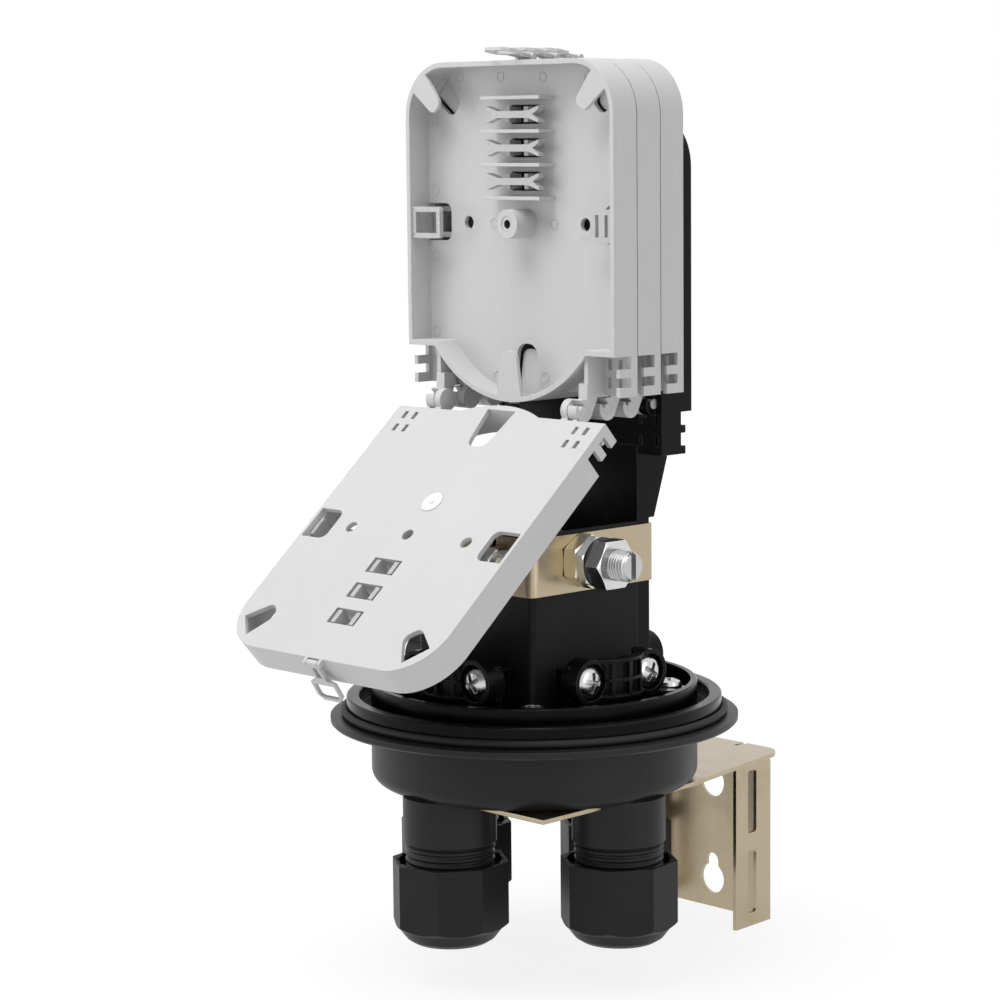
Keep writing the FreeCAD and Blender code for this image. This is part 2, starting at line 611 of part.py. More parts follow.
def knuckle(name, side, y, floor_front, floor_back):
    """The hinge disc and pin on a tray's back edge, that a hook behind it holds."""
    inner = d.block_half - d.hook_width - d.hinge_side_gap - d.disc_width
    start = inner if side > 0 else -d.block_half
    length = d.block_half - inner
    disc_start = inner if side > 0 else -inner - d.disc_width
    disc = rod(name + "_disc", d.hook_radius, d.disc_width, (disc_start, y, d.hinge_level), "x")
    pin = rod(name + "_pin", d.pin_radius, length, (start, y, d.hinge_level), "x")
    neck = block(name + "_neck", (disc_start, floor_front, d.hinge_level),
                 (disc_start + d.disc_width, floor_back, d.tray_bottom + 1))
    return [disc, pin, neck]


def make_tray_master():
    """One tray in its own frame: front rim at y zero, floor at the back, heights as in the stack."""
    depth, wall, half = d.tray_depth, d.tray_wall, d.tray_half
    floor = depth - d.tray_floor
    centre = d.arc_bottom + d.arc_radius
    plate, belly = tray_plate("tray_floor_plate", half, d.tray_bottom, d.tray_top, d.tray_corner,
                              d.arc_radius, d.arc_bottom, floor, depth)
    # rim wall: the outline less its inset, from the front to the floor
    rim_out, _ = tray_plate("tray_rim_out", half, d.wall_end, d.tray_top, d.tray_corner,
                            d.arc_radius, d.arc_bottom, 0, floor + 0.5)
    rim_belly = rod("tray_rim_belly", d.arc_radius, floor + 0.5, (0, 0, centre), "y")
    hollow, _ = tray_plate("tray_hollow", half - wall, d.wall_end + wall, d.tray_top - wall,
                           d.tray_corner - wall, d.arc_radius, d.arc_bottom, -1, floor)
    hollow_belly = rod("tray_hollow_belly", d.arc_radius - wall, floor + 1, (0, -1, centre), "y")
    rim_cap = block("tray_rim_cap", (-d.block_half, 0, d.arc_bottom - 1),
                    (d.block_half, floor + 0.5, centre))
    rim = cut("tray_rim", fuse("tray_rim_solid", [
        rim_out, common("tray_belly_part", [rim_belly, rim_cap])]), [hollow, hollow_belly])
    solids, tools = [plate, belly, rim], []
    for letter, side in (("r", 1), ("l", -1)):
        def wide(near_x, far_x):
            return (near_x, far_x) if side > 0 else (-size(far_x), -size(near_x))
        inner, outer = wide(half - wall, half)
        spine = block("comb_spine_" + letter, (inner, depth - d.comb_spine, d.tray_bottom),
                      (outer, depth, d.wall_end + 1))
        tooth_one = block("comb_tooth_one_" + letter, (inner, depth - d.comb_reach, d.tooth_one_low),
                          (outer, depth, d.tooth_one_top))
        tooth_two = block("comb_tooth_two_" + letter, (inner, depth - d.comb_reach, d.tray_bottom),
                          (outer, depth, d.tooth_two_top))
        inner, outer = wide(d.block_half - wall, d.block_half)
        cheek = block("cheek_" + letter, (inner, 1.6, d.hinge_level + d.hook_radius + 0.4),
                      (outer, depth, d.wall_end + 1))
        solids += [spine, tooth_one, tooth_two, cheek]
        hooks, eyes = hook("hook_" + letter, side, -d.hinge_back, 9)
        solids += hooks
        tools += eyes
        solids += knuckle("knuckle_" + letter, side, d.tray_pitch - d.hinge_back, floor, depth)
        for column in range(2):
            for row in range(2):
                inner, outer = wide(half - d.slot_inset - column * d.slot_pitch,
                                    half - d.slot_inset - column * d.slot_pitch + d.slot_width)
                low = d.slot_first + row * d.slot_rise
                tools.append(block("comb_slot_%s%d%d" % (letter, column, row),
                                   (inner, floor - 1, low), (outer, depth + 1, low + d.slot_height)))
        inner, outer = wide(half - d.side_window_reach, half - wall + 0.6)
        window_low = d.insert_level - d.side_window_height / 2
        window_high = d.insert_level + d.side_window_height / 2
        window = slab("side_window_" + letter, "XZ_Plane", [
            (inner, window_low), (outer, window_low), (outer, window_high), (inner, window_high)],
            floor - 1, depth + 1)
        tools.append(rounded(window, d.window_corner, x=[inner if side > 0 else outer],
                             z=[window_low, window_high]))
        tools.append(rod("floor_hole_" + letter, d.floor_hole_radius, d.tray_floor + 2,
                         (side * d.floor_hole_reach, floor - 1, d.insert_level), "y"))
        # corner finger at 45 degrees over a slot of its own outline
        corner_x = side * (half - d.finger_corner)
        corner_z = d.tray_top - d.finger_corner
        finger = tongue_slab("finger_blank_" + letter, d.finger_root, d.finger_tip, 4,
                             -d.finger_length, 0, d.finger_thick, d.finger_tip * 0.42)
        margin = d.slot_margin
        slot = tongue_slab("finger_slot_blank_" + letter, d.finger_root + 2 * margin,
                           d.finger_tip + 2 * margin, 0.5, -d.finger_length - margin,
                           floor - 1, depth + 1, d.finger_tip * 0.42 + margin)
        solids.append(copy("finger_" + letter, finger, (corner_x, 0, corner_z), 45 * side, Y_AXIS))
        tools.append(copy("finger_slot_" + letter, slot, (corner_x, 0, corner_z), 45 * side, Y_AXIS))
    boss = rod("insert_boss", d.insert_boss_radius, floor + 0.5, (0, 0, d.insert_level), "y")
    solids.append(boss)
    solids.append(rod("gate_disc", d.gate_disc_radius, d.tray_floor + d.gate_disc_height,
                      (0, floor, d.gate_disc_level), "y"))
    tools.append(rod("insert_seat", d.insert_radius, floor - 2, (0, -1, d.insert_level), "y"))
    tools.append(rod("insert_way", d.floor_hole_radius, d.tray_floor + 6,
                     (0, floor - 4, d.insert_level), "y"))
    for number in range(4):
        level = d.splice_rib_top - number * d.tray_pitch
        solids.append(block("splice_rib_%d" % number,
                            (-d.splice_rib_half, d.splice_rib_inset, level - d.splice_rib_thick / 2),
                            (d.splice_rib_half, floor + 0.5, level + d.splice_rib_thick / 2)))
        if number < 3:
            middle = level - d.tray_pitch / 2
            tools.append(block("splice_window_%d" % number,
                               (-d.clip_window, floor - 1, middle - d.clip_height / 2),
                               (d.clip_window, depth + 1, middle + d.clip_height / 2)))
    # tongue from the belly's lowest point, over an arched window in the floor
    solids.append(tongue_slab("tongue", d.tongue_root, d.tongue_tip, d.arc_bottom + 1,
                              d.arc_bottom + d.tongue_length, 0, d.finger_thick,
                              d.tongue_tip * 0.45))
    margin = d.slot_margin
    tools.append(tongue_slab("tongue_window", d.tongue_root + 2 * margin,
                             d.tongue_tip + 2 * margin, d.arc_bottom + wall + 0.6,
                             d.arc_bottom + d.tongue_window_top, floor - 1, depth + 1,
                             d.tongue_tip * 0.45 + margin))
    # two lugs on the rear edge of the top wall carry the latch
    for letter, side in (("r", 1), ("l", -1)):
        near_x = d.latch_root_half + d.latch_lug_gap
        far_x = near_x + d.latch_lug_width
        start = near_x if side > 0 else -far_x
        solids.append(rod("latch_lug_" + letter, d.latch_barrel, d.latch_lug_width,
                          (start, d.latch_back, d.latch_level), "x"))
        solids.append(block("latch_foot_" + letter,
                            (start, d.latch_back - d.latch_barrel, d.tray_top - 1),
                            (start + d.latch_lug_width, d.latch_back + d.latch_barrel,
                             d.latch_level)))
        tools.append(rod("latch_lug_bore_" + letter, d.latch_pin + d.latch_pin_gap,
                         d.latch_lug_width + 2, (start - 1, d.latch_back, d.latch_level), "x"))
    tray = cut("tray_master", fuse("tray_solid", solids), tools)
    insert = cut("insert_master", rod("insert_sleeve", d.insert_radius - 0.02, floor - 3.4,
                                      (0, 0.2, d.insert_level), "y"),
                 [rod("insert_bore", d.insert_bore, floor, (0, -1, d.insert_level), "y")])
    return tray, insert, make_splice_clips(floor), make_side_clips(floor), make_latch()


def tongue_slab(name, root_width, tip_width, root, tip, low, high, corner):
    """A plate that narrows from its root level to a round-cornered tip level."""
    body = slab(name, "XZ_Plane", [
        (-root_width / 2, root), (root_width / 2, root), (tip_width / 2, tip),
        (-tip_width / 2, tip)], low, high)
    return rounded(body, corner, x=[-tip_width / 2, tip_width / 2], z=[tip])


def make_latch():
    """The latch link in the tray's frame: a narrow root, then a wide six-sided loop."""
    root_half, half, bar = d.latch_root_half, d.latch_half, d.latch_bar
    length, root_end, thick = d.latch_length, d.latch_root_length, d.latch_thick
    ring_start = root_end + 2
    link = slab("latch_link", "XY_Plane", [
        (root_half, 0), (root_half, -root_end), (half, -ring_start), (half, 3 - length),
        (half - 3, -length), (3 - half, -length), (-half, 3 - length), (-half, -ring_start),
        (-root_half, -root_end), (-root_half, 0)], -thick / 2, thick / 2)
    eye = slab("latch_eye", "XY_Plane", [
        (half - bar, -ring_start - 1), (half - bar, 2.4 - length), (half - bar - 2.2, bar - length),
        (2.2 + bar - half, bar - length), (bar - half, 2.4 - length), (bar - half, -ring_start - 1)],
        -thick, thick)
    slit = block("latch_slit", (-d.latch_bar, 1 - root_end, -thick), (d.latch_bar, -2.4, thick))
    barrel = rod("latch_barrel_rod", d.latch_barrel, 2 * root_half, (-root_half, 0, 0), "x")
    reach = root_half + d.latch_lug_gap + d.latch_lug_width
    pin = rod("latch_pin_rod", d.latch_pin, 2 * reach, (-reach, 0, 0), "x")
    flat = cut("latch_flat", fuse("latch_solid", [link, barrel, pin]), [eye, slit])
    return copy("latch_master", flat, (0, d.latch_back, d.latch_level), -d.latch_tilt, X_AXIS)


def make_splice_clips(floor):
    """Three clips between the ribs: a bar with a fork at each end, on two feet."""
    clips = []
    height = d.clip_height - 1
    for number in range(3):
        middle = d.splice_rib_top - (number + 0.5) * d.tray_pitch
        fork = slab("clip_fork_%d" % number, "XZ_Plane", [
            (-d.clip_half, middle + height / 2), (-d.clip_half, middle + height / 2 - 1.4),
            (4 - d.clip_half, middle), (-d.clip_half, middle - height / 2 + 1.4),
            (-d.clip_half, middle - height / 2), (7 - d.clip_half, middle - 1.6),
            (d.clip_half - 7, middle - 1.6), (d.clip_half, middle - height / 2),
            (d.clip_half, middle - height / 2 + 1.4), (d.clip_half - 4, middle),
            (d.clip_half, middle + height / 2 - 1.4), (d.clip_half, middle + height / 2),
            (d.clip_half - 7, middle + 1.6), (7 - d.clip_half, middle + 1.6)],
            floor - d.clip_depth, floor - d.clip_depth + 4)
        feet = []
        for letter, side in (("a", -1), ("b", 1)):
            inner = side * 6 - d.clip_wall
            feet.append(block("clip_foot_%d%s" % (number, letter),
                              (inner, floor - d.clip_depth + 3, middle - d.clip_height / 2 + 0.8),
                              (inner + 2 * d.clip_wall, floor + d.tray_floor - 0.3,
                               middle + d.clip_height / 2 - 0.8)))
        clips.append(fuse("splice_clip_%d" % number, [fork] + feet))
    return clips


def make_side_clips(floor):
    """A loop on each long wall at mid height, with two round-ended prongs towards the middle."""
    clips = []
    outer = d.tray_half - d.tray_wall
    inner = outer - d.side_clip_reach
    low = d.insert_level - d.side_clip_height / 2
    high = d.insert_level + d.side_clip_height / 2
    bar, thick = d.side_clip_bar, d.side_clip_thick
    front = d.insert_radius * 0.3
    for letter, side in (("r", 1), ("l", -1)):
        def wide(near_x, far_x):
            return (near_x, far_x) if side > 0 else (-size(far_x), -size(near_x))
        parts = []
        for tag, level in (("low", low), ("high", high - bar)):
            start, end = wide(inner + bar / 2, outer)
            parts.append(block("side_prong_%s_%s" % (tag, letter), (start, front, level),
                               (end, front + thick, level + bar)))
            parts.append(rod("side_tip_%s_%s" % (tag, letter), bar / 2, thick,
                             (side * (inner + bar / 2), front, level + bar / 2), "y"))
        # the left loop is closed at its end, the right one further back
        tie = inner if side < 0 else inner + d.side_clip_reach * 0.34
        for tag, near_x in (("foot", outer - bar), ("tie", tie)):
            start, end = wide(near_x, near_x + bar)
            parts.append(block("side_%s_%s" % (tag, letter), (start, front, low + bar / 2),
                               (end, front + thick, high - bar / 2)))
        start, end = wide(outer - d.side_clip_thick, outer)
        parts.append(block("side_post_" + letter, (start, front, low + bar),
                           (end, floor - 0.3, high - bar)))
        clips.append(fuse("side_clip_" + letter, parts))
    return clips


def make_trays():
    tray, insert, splice_clips, side_clips, latch = make_tray_master()
    pieces = (("splice_tray_%d", [tray]), ("tray_insert_%d", [insert]),
              ("splice_clips_%d", splice_clips), ("side_clips_%d", side_clips),
              ("latch_%d", [latch]))
    # the first tray lies folded down about its hinge, the rest stand upright behind it
    axis_y = d.tray_pitch - d.hinge_back
    for number in (1, 2, 3, 4):
        front = d.tray_front + (number - 2) * d.tray_pitch
        if number == 1:
            turn = d.fold
            at_y = front + axis_y - axis_y * cosine(turn) + d.hinge_level * sine(turn)
            at_z = d.hinge_level - axis_y * sine(turn) - d.hinge_level * cosine(turn)
        else:
            turn, at_y, at_z = size(0), front, size(0)
        for label, sources in pieces:
            name = label % number
            node(name, copy(name + "_at", sources, (0, at_y, at_z), turn, X_AXIS))


def make_holder():
    front = d.tray_front + 3 * d.tray_pitch
    back = front + d.holder_depth
    wall, half, stem = d.tray_wall, d.holder_half, d.tower_half
    floor_back = front + wall
    plate, belly = tray_plate("holder_plate", half, d.holder_bottom, d.holder_top, d.holder_corner,
                              d.arc_radius, d.holder_arc_bottom, front, floor_back)
    keep = block("holder_belly_keep", (-half, front - 1, d.holder_arc_bottom - 1),
                 (half, back, d.holder_bottom + 1))
    rim_out, _ = tray_plate("holder_rim_out", half, d.holder_wall_end, d.holder_top,
                            d.holder_corner, d.arc_radius, d.holder_arc_bottom, front, back)
    hollow, _ = tray_plate("holder_hollow", half - wall, d.holder_wall_end - 1,
                           d.holder_top - wall, d.holder_corner - wall, d.arc_radius,
                           d.holder_arc_bottom, floor_back, back + 1)
    rim = cut("holder_rim", rim_out, [hollow])
    low = d.drum_floor - d.drum_depth
    stem_plate = block("stem_plate", (-stem, d.tower_back, low),
                       (stem, d.tower_back + d.stem_wall, d.holder_bottom + 4))
    solids = [plate, common("holder_belly_part", [belly, keep]), rim, stem_plate]
    tools = [
        rod("holder_cable_way", 15, d.stem_wall + 4, (0, d.tower_back - 1, low + 16), "y"),
    ]
    for letter, side in (("r", 1), ("l", -1)):
        def wide(near_x, far_x):
            return (near_x, far_x) if side > 0 else (-size(far_x), -size(near_x))
        start, end = wide(stem - d.stem_wall, stem)
        solids.append(slab("stem_cheek_" + letter, "YZ_Plane", [
            (d.tower_back, low), (stem, low), (stem, d.flare_start), (back - 9, d.flare_start),
            (back, d.flare_end), (back, d.holder_wall_end), (front + 0.5, d.holder_wall_end),
            (front + 0.5, d.holder_bottom), (d.tower_back, d.holder_bottom)], start, end))
        start, end = wide(half - wall, half)
        solids.append(block("holder_spine_" + letter, (start, front, d.holder_bottom),
                            (end, front + d.holder_comb_spine, d.holder_wall_end + 1)))
        for tag, tooth_low, tooth_high in (
                ("one", d.holder_tooth_one_low, d.holder_tooth_one_top),
                ("two", d.holder_bottom, d.holder_tooth_two_top)):
            solids.append(block("holder_tooth_%s_%s" % (tag, letter), (start, front, tooth_low),
                                (end, front + d.holder_comb_reach, tooth_high)))
        hook_solids, eyes = hook("holder_hook_" + letter, side, front - d.hinge_back, 3.4)
        solids += hook_solids
        tools += eyes
        inner = d.block_half - d.hook_width - d.hinge_side_gap - d.disc_width
        start, end = wide(inner - 0.4, d.block_half - d.hook_width)
        tools.append(block("holder_knuckle_way_" + letter, (start, front - 1, d.hinge_level - 6.4),
                           (end, floor_back + 3.4, d.hinge_level + 6.4)))
        for column in range(2):
            for row in range(2):
                near_x = half - d.holder_slot_inset - column * d.holder_slot_pitch
                start, end = wide(near_x, near_x + d.holder_slot_width)
                level = d.holder_slot_first + row * d.holder_slot_rise
                tools.append(block("holder_slot_%s%d%d" % (letter, column, row),
                                   (start, front - 1, level),
                                   (end, floor_back + 1, level + d.slot_height)))
    node("tray_holder", cut("holder", fuse("holder_solid", solids), tools))


def hexagon_nut(name, flats, height, bore, at, spin, bevel):
    """A hexagon nut along +X with both ends bevelled and a plain bore."""
    body = prism(name + "_hex", 6, across_flats(flats), height, at, "x", spin)
    corner = across_flats(flats)
    dome = turned(name + "_dome", [
        (0, 0), (flats / 2 - 0.2, 0), (corner, bevel * 0.6), (corner, height - bevel * 0.6),
        (flats / 2 - 0.2, height), (0, height)])
    envelope = copy(name + "_envelope", dome, at, 90, Y_AXIS)
    hole = rod(name + "_hole", bore, height + 2, (at[0] - 1, at[1], at[2]), "x")
    return cut(name, common(name + "_blank", [body, envelope]), [hole])


def make_band():
    half, thick = d.tower_half, d.band_thick
    outer = half + thick
    low, high = d.band_low, d.band_high
    outside = slab("band_outside", "XY_Plane", [
        (-outer, -outer), (outer, -outer), (outer, outer), (-outer, outer)], low, high)
    rounded(outside, d.tower_corner + thick, x=[-outer, outer], y=[-outer])
    rounded(outside, thick, x=[-outer, outer], y=[outer])
    inside = slab("band_inside", "XY_Plane", [
        (-half, -half), (half, -half), (half, half), (-half, half)], low - 1, high + 1)
    rounded(inside, d.tower_corner, x=[-half, half], y=[-half])
    left = d.lug_place - d.lug_gap / 2
    right = d.lug_place + d.lug_gap / 2
    tip = -outer - d.lug_reach
    middle = d.band_bolt_level
    lugs = [
        block("band_lug_" + letter, (start, tip, middle - d.lug_height / 2),
              (start + thick, 0.3 - outer, middle + d.lug_height / 2))
        for letter, start in (("a", left - thick), ("b", right))
    ]
    axis_y = -outer - d.band_nut_flats / 2 - d.band_bolt_gap
    hole = rod("band_lug_hole", d.band_bolt_radius + 0.2, d.lug_gap + 4 * thick,
               (left - 2 * thick, axis_y, middle), "x")
    split = block("band_split", (left, tip - 1, low - 1), (right, 1 - half, high + 1))
    stud_way = rod("band_stud_hole", d.stud_radius + d.pass_gap, 8,
                   (half - 2, d.stud_side, d.stud_level), "x")
    hoop = cut("band_hoop", outside, [inside])
    node("clamp_band", cut("band", fuse("band_solid", [hoop] + lugs), [split, hole, stud_way]))
    span = d.lug_gap + 2 * thick
    head = prism("band_bolt_head", 6, across_flats(d.band_nut_flats), d.band_nut_height * 0.8,
                 (left - thick - d.band_nut_height * 0.8, axis_y, middle), "x")
    shank = rod("band_bolt_shank", d.band_bolt_radius, span + d.band_nut_height + 2.2,
                (left - thick - 0.2, axis_y, middle), "x")
    node("band_bolt", fuse("band_bolt_solid", [head, shank]))
    node("band_nut", hexagon_nut("band_nut_solid", d.band_nut_flats, d.band_nut_height,
                                 d.band_bolt_radius + 0.05, (right + thick, axis_y, middle), 0,
                                 d.nut_bevel))


def make_stud():
    y, z = d.stud_side, d.stud_level
    face = d.tower_half + d.band_thick
    head_start = d.tower_half - d.tower_wall - d.stud_head_height
    head = prism("stud_head", 6, across_flats(d.stud_flats), d.stud_head_height, (head_start, y, z),
                 "x", 30)
    length = d.stud_end - head_start - 1
    shank = turned("stud_shank", [
        (0, 0), (d.stud_radius, 0), (d.stud_radius, length - d.stud_chamfer),
        (d.stud_radius - d.stud_chamfer, length), (0, length)])
    shank_at = copy("stud_shank_at", shank, (head_start + 1, y, z), 90, Y_AXIS)
    slot = block("stud_slot", (d.stud_end - d.stud_slot_depth, y - d.stud_slot_width / 2,
                               z - d.stud_radius - 1),
                 (d.stud_end + 1, y + d.stud_slot_width / 2, z + d.stud_radius + 1))
    node("earth_stud", cut("stud", fuse("stud_solid", [head, shank_at]), [slot]))
    bore = d.stud_radius + 0.05
    start = face
    node("stud_inner_nut", hexagon_nut("inner_nut", d.stud_flats, d.inner_nut_height, bore,
                                       (start, y, z), 0, d.nut_bevel))
    start = start + d.inner_nut_height
    node("stud_lock_nut", hexagon_nut("lock_nut", d.stud_flats, d.lock_nut_height, bore,
                                      (start, y, z), 12, d.nut_bevel))
    start = start + d.lock_nut_height
    disc = rod("stud_washer_disc", d.stud_washer_radius, d.stud_washer_thick, (start, y, z), "x")
    hole = rod("stud_washer_hole", bore, d.stud_washer_thick + 2, (start - 1, y, z), "x")
    node("stud_washer", cut("stud_washer_solid", disc, [hole]))
    start = start + d.stud_washer_thick
    node("stud_outer_nut", hexagon_nut("outer_nut", d.stud_flats, d.outer_nut_height, bore,
                                       (start, y, z), 30, d.nut_bevel))


def make_bracket():
    top, thick = -d.drum_depth, d.sheet
    low, bottom = top - thick, -d.back_bottom
    front, rear = -d.plate_front, d.plate_rear
    plate = slab("bracket_plate", "XY_Plane", [
        (-d.cut_corner_front, front), (d.plate_half, front), (d.plate_side_half, d.plate_side_end),
        (d.plate_rear_half, rear), (-d.plate_rear_half, rear),
        (-d.plate_side_half, d.plate_side_end), (-d.plate_half, -d.cut_corner_side)], low, top)
    rounded(plate, d.plate_corner, x=[-d.plate_rear_half, d.plate_rear_half], y=[rear])
    # the back hangs from a bend at the middle of the rear edge
    back_top = low - d.back_drop
    back = slab("bracket_back", "XZ_Plane", [
        (-d.back_half, bottom), (d.back_half, bottom), (d.back_half, back_top),
        (d.bend_half, back_top), (d.bend_half, top - thick / 2), (-d.bend_half, top - thick / 2),
        (-d.bend_half, back_top), (-d.back_half, back_top)], rear - thick, rear)
    solids, tools = [plate, back], []
    slot_back = -d.strap_slot_back
    for letter, side in (("r", 1), ("l", -1)):
        start, end = (0, thick) if side > 0 else (-thick, 0)
        wing = slab("wing_blank_" + letter, "YZ_Plane", [
            (-d.wing_reach, bottom), (0, bottom), (0, back_top), (-d.wing_reach, back_top)],
            start, end)
        slots = []
        for number in range(2):
            high = -d.strap_slot_top - number * d.strap_slot_pitch
            sides = (slot_back - d.strap_slot_width / 2, slot_back + d.strap_slot_width / 2)
            slot = slab("strap_slot_%s%d" % (letter, number), "YZ_Plane", [
                (sides[0], high - d.strap_slot_length), (sides[1], high - d.strap_slot_length),
                (sides[1], high), (sides[0], high)], start - size(1), end + size(1))
            slots.append(rounded(slot, d.strap_slot_corner, y=list(sides),
                                 z=[high, high - d.strap_slot_length]))
        wing_cut = cut("wing_cut_" + letter, wing, slots)
        at = (side * (d.back_half - thick), rear - 0.2, 0)
        solids.append(copy("wing_" + letter, wing_cut, at, side * d.wing_splay))
        notch_x = d.bend_half if side > 0 else -d.bend_half - d.bend_notch
        tools.append(block("bend_notch_" + letter, (notch_x, rear - d.bend_notch_depth, low - 1),
                           (notch_x + d.bend_notch, rear + 1, top + 1)))
    for number in range(2):
        level = -d.keyhole_low + number * d.keyhole_pitch
        neck_end = level + d.keyhole_rise - d.keyhole_slot
        tools.append(rod("keyhole_eye_%d" % number, d.keyhole_radius, thick + 2,
                         (0, rear - thick - 1, level), "y"))
        tools.append(block("keyhole_neck_%d" % number, (-d.keyhole_slot, rear - thick - 1, level),
                           (d.keyhole_slot, rear + 1, neck_end)))
        tools.append(rod("keyhole_end_%d" % number, d.keyhole_slot, thick + 2,
                         (0, rear - thick - 1, neck_end), "y"))
    clearance = d.port_radius + d.port_clearance
    for side, angle in QUARTERS.items():
        place = radial(PORT_CIRCLE, angle)
        tools.append(rod("bracket_port_" + side, clearance, thick + 2, place[:2] + (low - 1,)))
        diagonal = radial(BOSS_CIRCLE, angle + 45)
        tools.append(rod("bracket_hole_" + side, d.bolt_radius + d.thread_slack, thick + 2,
                         diagonal[:2] + (low - 1,)))
    node("wall_bracket", cut("bracket", fuse("bracket_solid", solids), tools))


def write_parts():
    doc.recompute()
    for thing in doc.Objects:
        if "Invalid" in thing.State or "Error" in thing.State:
            raise RuntimeError("%s failed: %s" % (thing.Name, thing.State))
    os.makedirs("parts", exist_ok=True)
    for name, thing in nodes.items():
        shape = thing.Shape
        if shape.isNull() or not shape.isValid() or not shape.Solids:
            raise RuntimeError(name + " is not a valid solid")
        shape.exportStep("parts/%s.step" % name)
        box = shape.BoundBox
        print("%-24s %2d solids %9.1f mm3  x %.1f..%.1f  y %.1f..%.1f  z %.1f..%.1f" % (
            name, len(shape.Solids), shape.Volume, box.XMin, box.XMax, box.YMin, box.YMax,
            box.ZMin, box.ZMax))


make_base()
make_glands()
make_clamps()
make_bracket_fasteners()
make_tower()
make_band()
make_stud()
make_trays()
make_holder()
make_bracket()
write_parts()
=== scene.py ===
"""Dome splice closure, cover off: finishes, fine detail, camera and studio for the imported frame."""
import json
import math

import bmesh
import bpy
from mathutils import Matrix, Vector


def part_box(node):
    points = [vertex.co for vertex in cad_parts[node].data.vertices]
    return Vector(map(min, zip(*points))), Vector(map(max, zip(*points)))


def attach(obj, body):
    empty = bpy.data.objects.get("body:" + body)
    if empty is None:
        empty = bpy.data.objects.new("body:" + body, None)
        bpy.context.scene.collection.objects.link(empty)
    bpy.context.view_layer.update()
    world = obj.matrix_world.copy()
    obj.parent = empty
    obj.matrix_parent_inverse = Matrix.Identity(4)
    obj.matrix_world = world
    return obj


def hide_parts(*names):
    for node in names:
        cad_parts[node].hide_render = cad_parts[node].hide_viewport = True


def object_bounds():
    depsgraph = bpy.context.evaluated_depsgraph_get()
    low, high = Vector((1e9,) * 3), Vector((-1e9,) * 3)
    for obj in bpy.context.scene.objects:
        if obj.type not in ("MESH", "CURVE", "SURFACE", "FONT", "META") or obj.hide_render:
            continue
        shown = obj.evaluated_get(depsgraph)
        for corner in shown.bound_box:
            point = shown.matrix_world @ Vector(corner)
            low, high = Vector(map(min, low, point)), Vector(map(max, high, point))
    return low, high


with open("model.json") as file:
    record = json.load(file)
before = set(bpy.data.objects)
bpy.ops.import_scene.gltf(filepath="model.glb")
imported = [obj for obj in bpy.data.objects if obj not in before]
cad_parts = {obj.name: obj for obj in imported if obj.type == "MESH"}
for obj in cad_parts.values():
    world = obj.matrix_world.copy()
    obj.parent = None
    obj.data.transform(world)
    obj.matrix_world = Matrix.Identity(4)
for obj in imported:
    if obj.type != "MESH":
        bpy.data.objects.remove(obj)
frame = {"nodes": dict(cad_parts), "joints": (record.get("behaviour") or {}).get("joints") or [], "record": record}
CAD_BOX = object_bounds()
MM = 0.001

# Earth stud: a fine thread on the shank, a sawn slot across its free end
STUD_RADIUS = 7 * MM
THREAD_PITCH = 1.5 * MM
THREAD_DEPTH = 0.95 * MM
STUD_HEAD = 8 * MM
STUD_CHAMFER = 1.4 * MM
STUD_SLOT_WIDTH = 3 * MM
STUD_SLOT_DEPTH = 4 * MM

# Splice trays: pitch of the stack, depth and floor of a tray, its fold, and a front behind its hinge
TRAY_PITCH = 15.1 * MM
TRAY_DEPTH = 14.6 * MM
TRAY_FLOOR = 2.3 * MM
TRAY_FOLD = math.radians(131)
HINGE_BACK = 0.9 * MM

# Moulding gate on a tray's back: the raised disc, the pale face on it and the nub in its middle
GATE_LEVEL = 206 * MM
GATE_RADIUS = 5.5 * MM
GATE_HEIGHT = 0.3 * MM
GATE_SKIN = 0.06 * MM
NUB_RADIUS = 1.2 * MM
NUB_HEIGHT = 0.5 * MM

# Ejector pin marks on the inner face of a tray's floor, as distances from the middle and levels in mm
EJECTOR_RADIUS = 2.5 * MM
EJECTOR_RIM = 0.7 * MM
EJECTOR_HEIGHT = 0.25 * MM
EJECTOR_MARKS = [
    (-60.3, 241), (-60.3, 210.5), (-60.6, 174.5), (-60.3, 273), (-21, 225.7), (18.5, 225.9),
    (-42.9, 293), (-15.9, 292.7), (11.6, 292.1), (40.1, 291.8), (-19.4, 155.2), (11.9, 156.2),
    (60.3, 241), (60.3, 210.5)]

# Clamp screws: where their heads seat
SCREW_SEAT = 50.4 * MM
SCREW_SPREAD = 19 * MM
SCREW_LEVEL = 22.5 * MM

# A clamp screw in mm, as radius and height from the middle of its crown outwards, and its sunk cross
SCREW_PROFILE = [
    (0, 7.4), (2, 7.3), (4.6, 6.75), (5.9, 6.1), (7.2, 4.9), (7.95, 3.5), (8.15, 2.6), (8.15, 0.3),
    (7.9, 0), (2.6, 0), (2.6, -9), (0, -9)]
SCREW_STEPS = 40
CROWN_LEVEL = 6.8
RECESS_REACH = 4.6
RECESS_HALF = 1.05
RECESS_DEPTH = 3.6
RECESS_TAPER = 0.7

# Camera fitted to the photograph: turn, rise and roll, lens, and distance and aim in mm
VIEW_TURN = math.radians(46.21)
VIEW_RISE = math.radians(7.19)
VIEW_ROLL = math.radians(-0.57)
VIEW_LENS = 104.56
VIEW_DISTANCE = 1344.31
AIM_LEVEL = 98.63
AIM_SIDE = -14.96

# Studio: each softbox's place, width, height and power, and the strengths of surround and floor
SOFTBOXES = {
    "top softbox": ((-0.1, -0.7, 1.8), 1.3, 1.3, 31),
    "left softbox": ((-1.5, -1.3, 0.7), 0.8, 1.4, 8.5),
    "right softbox": ((1.8, 0.1, 0.6), 0.7, 1.4, 7.5)}
SOFTBOX_AIM = (0, 0, 0.1)
FILL = 0.30
FLOOR_GLOW = 1.06
FLOOR_DROP = 0.5 * MM

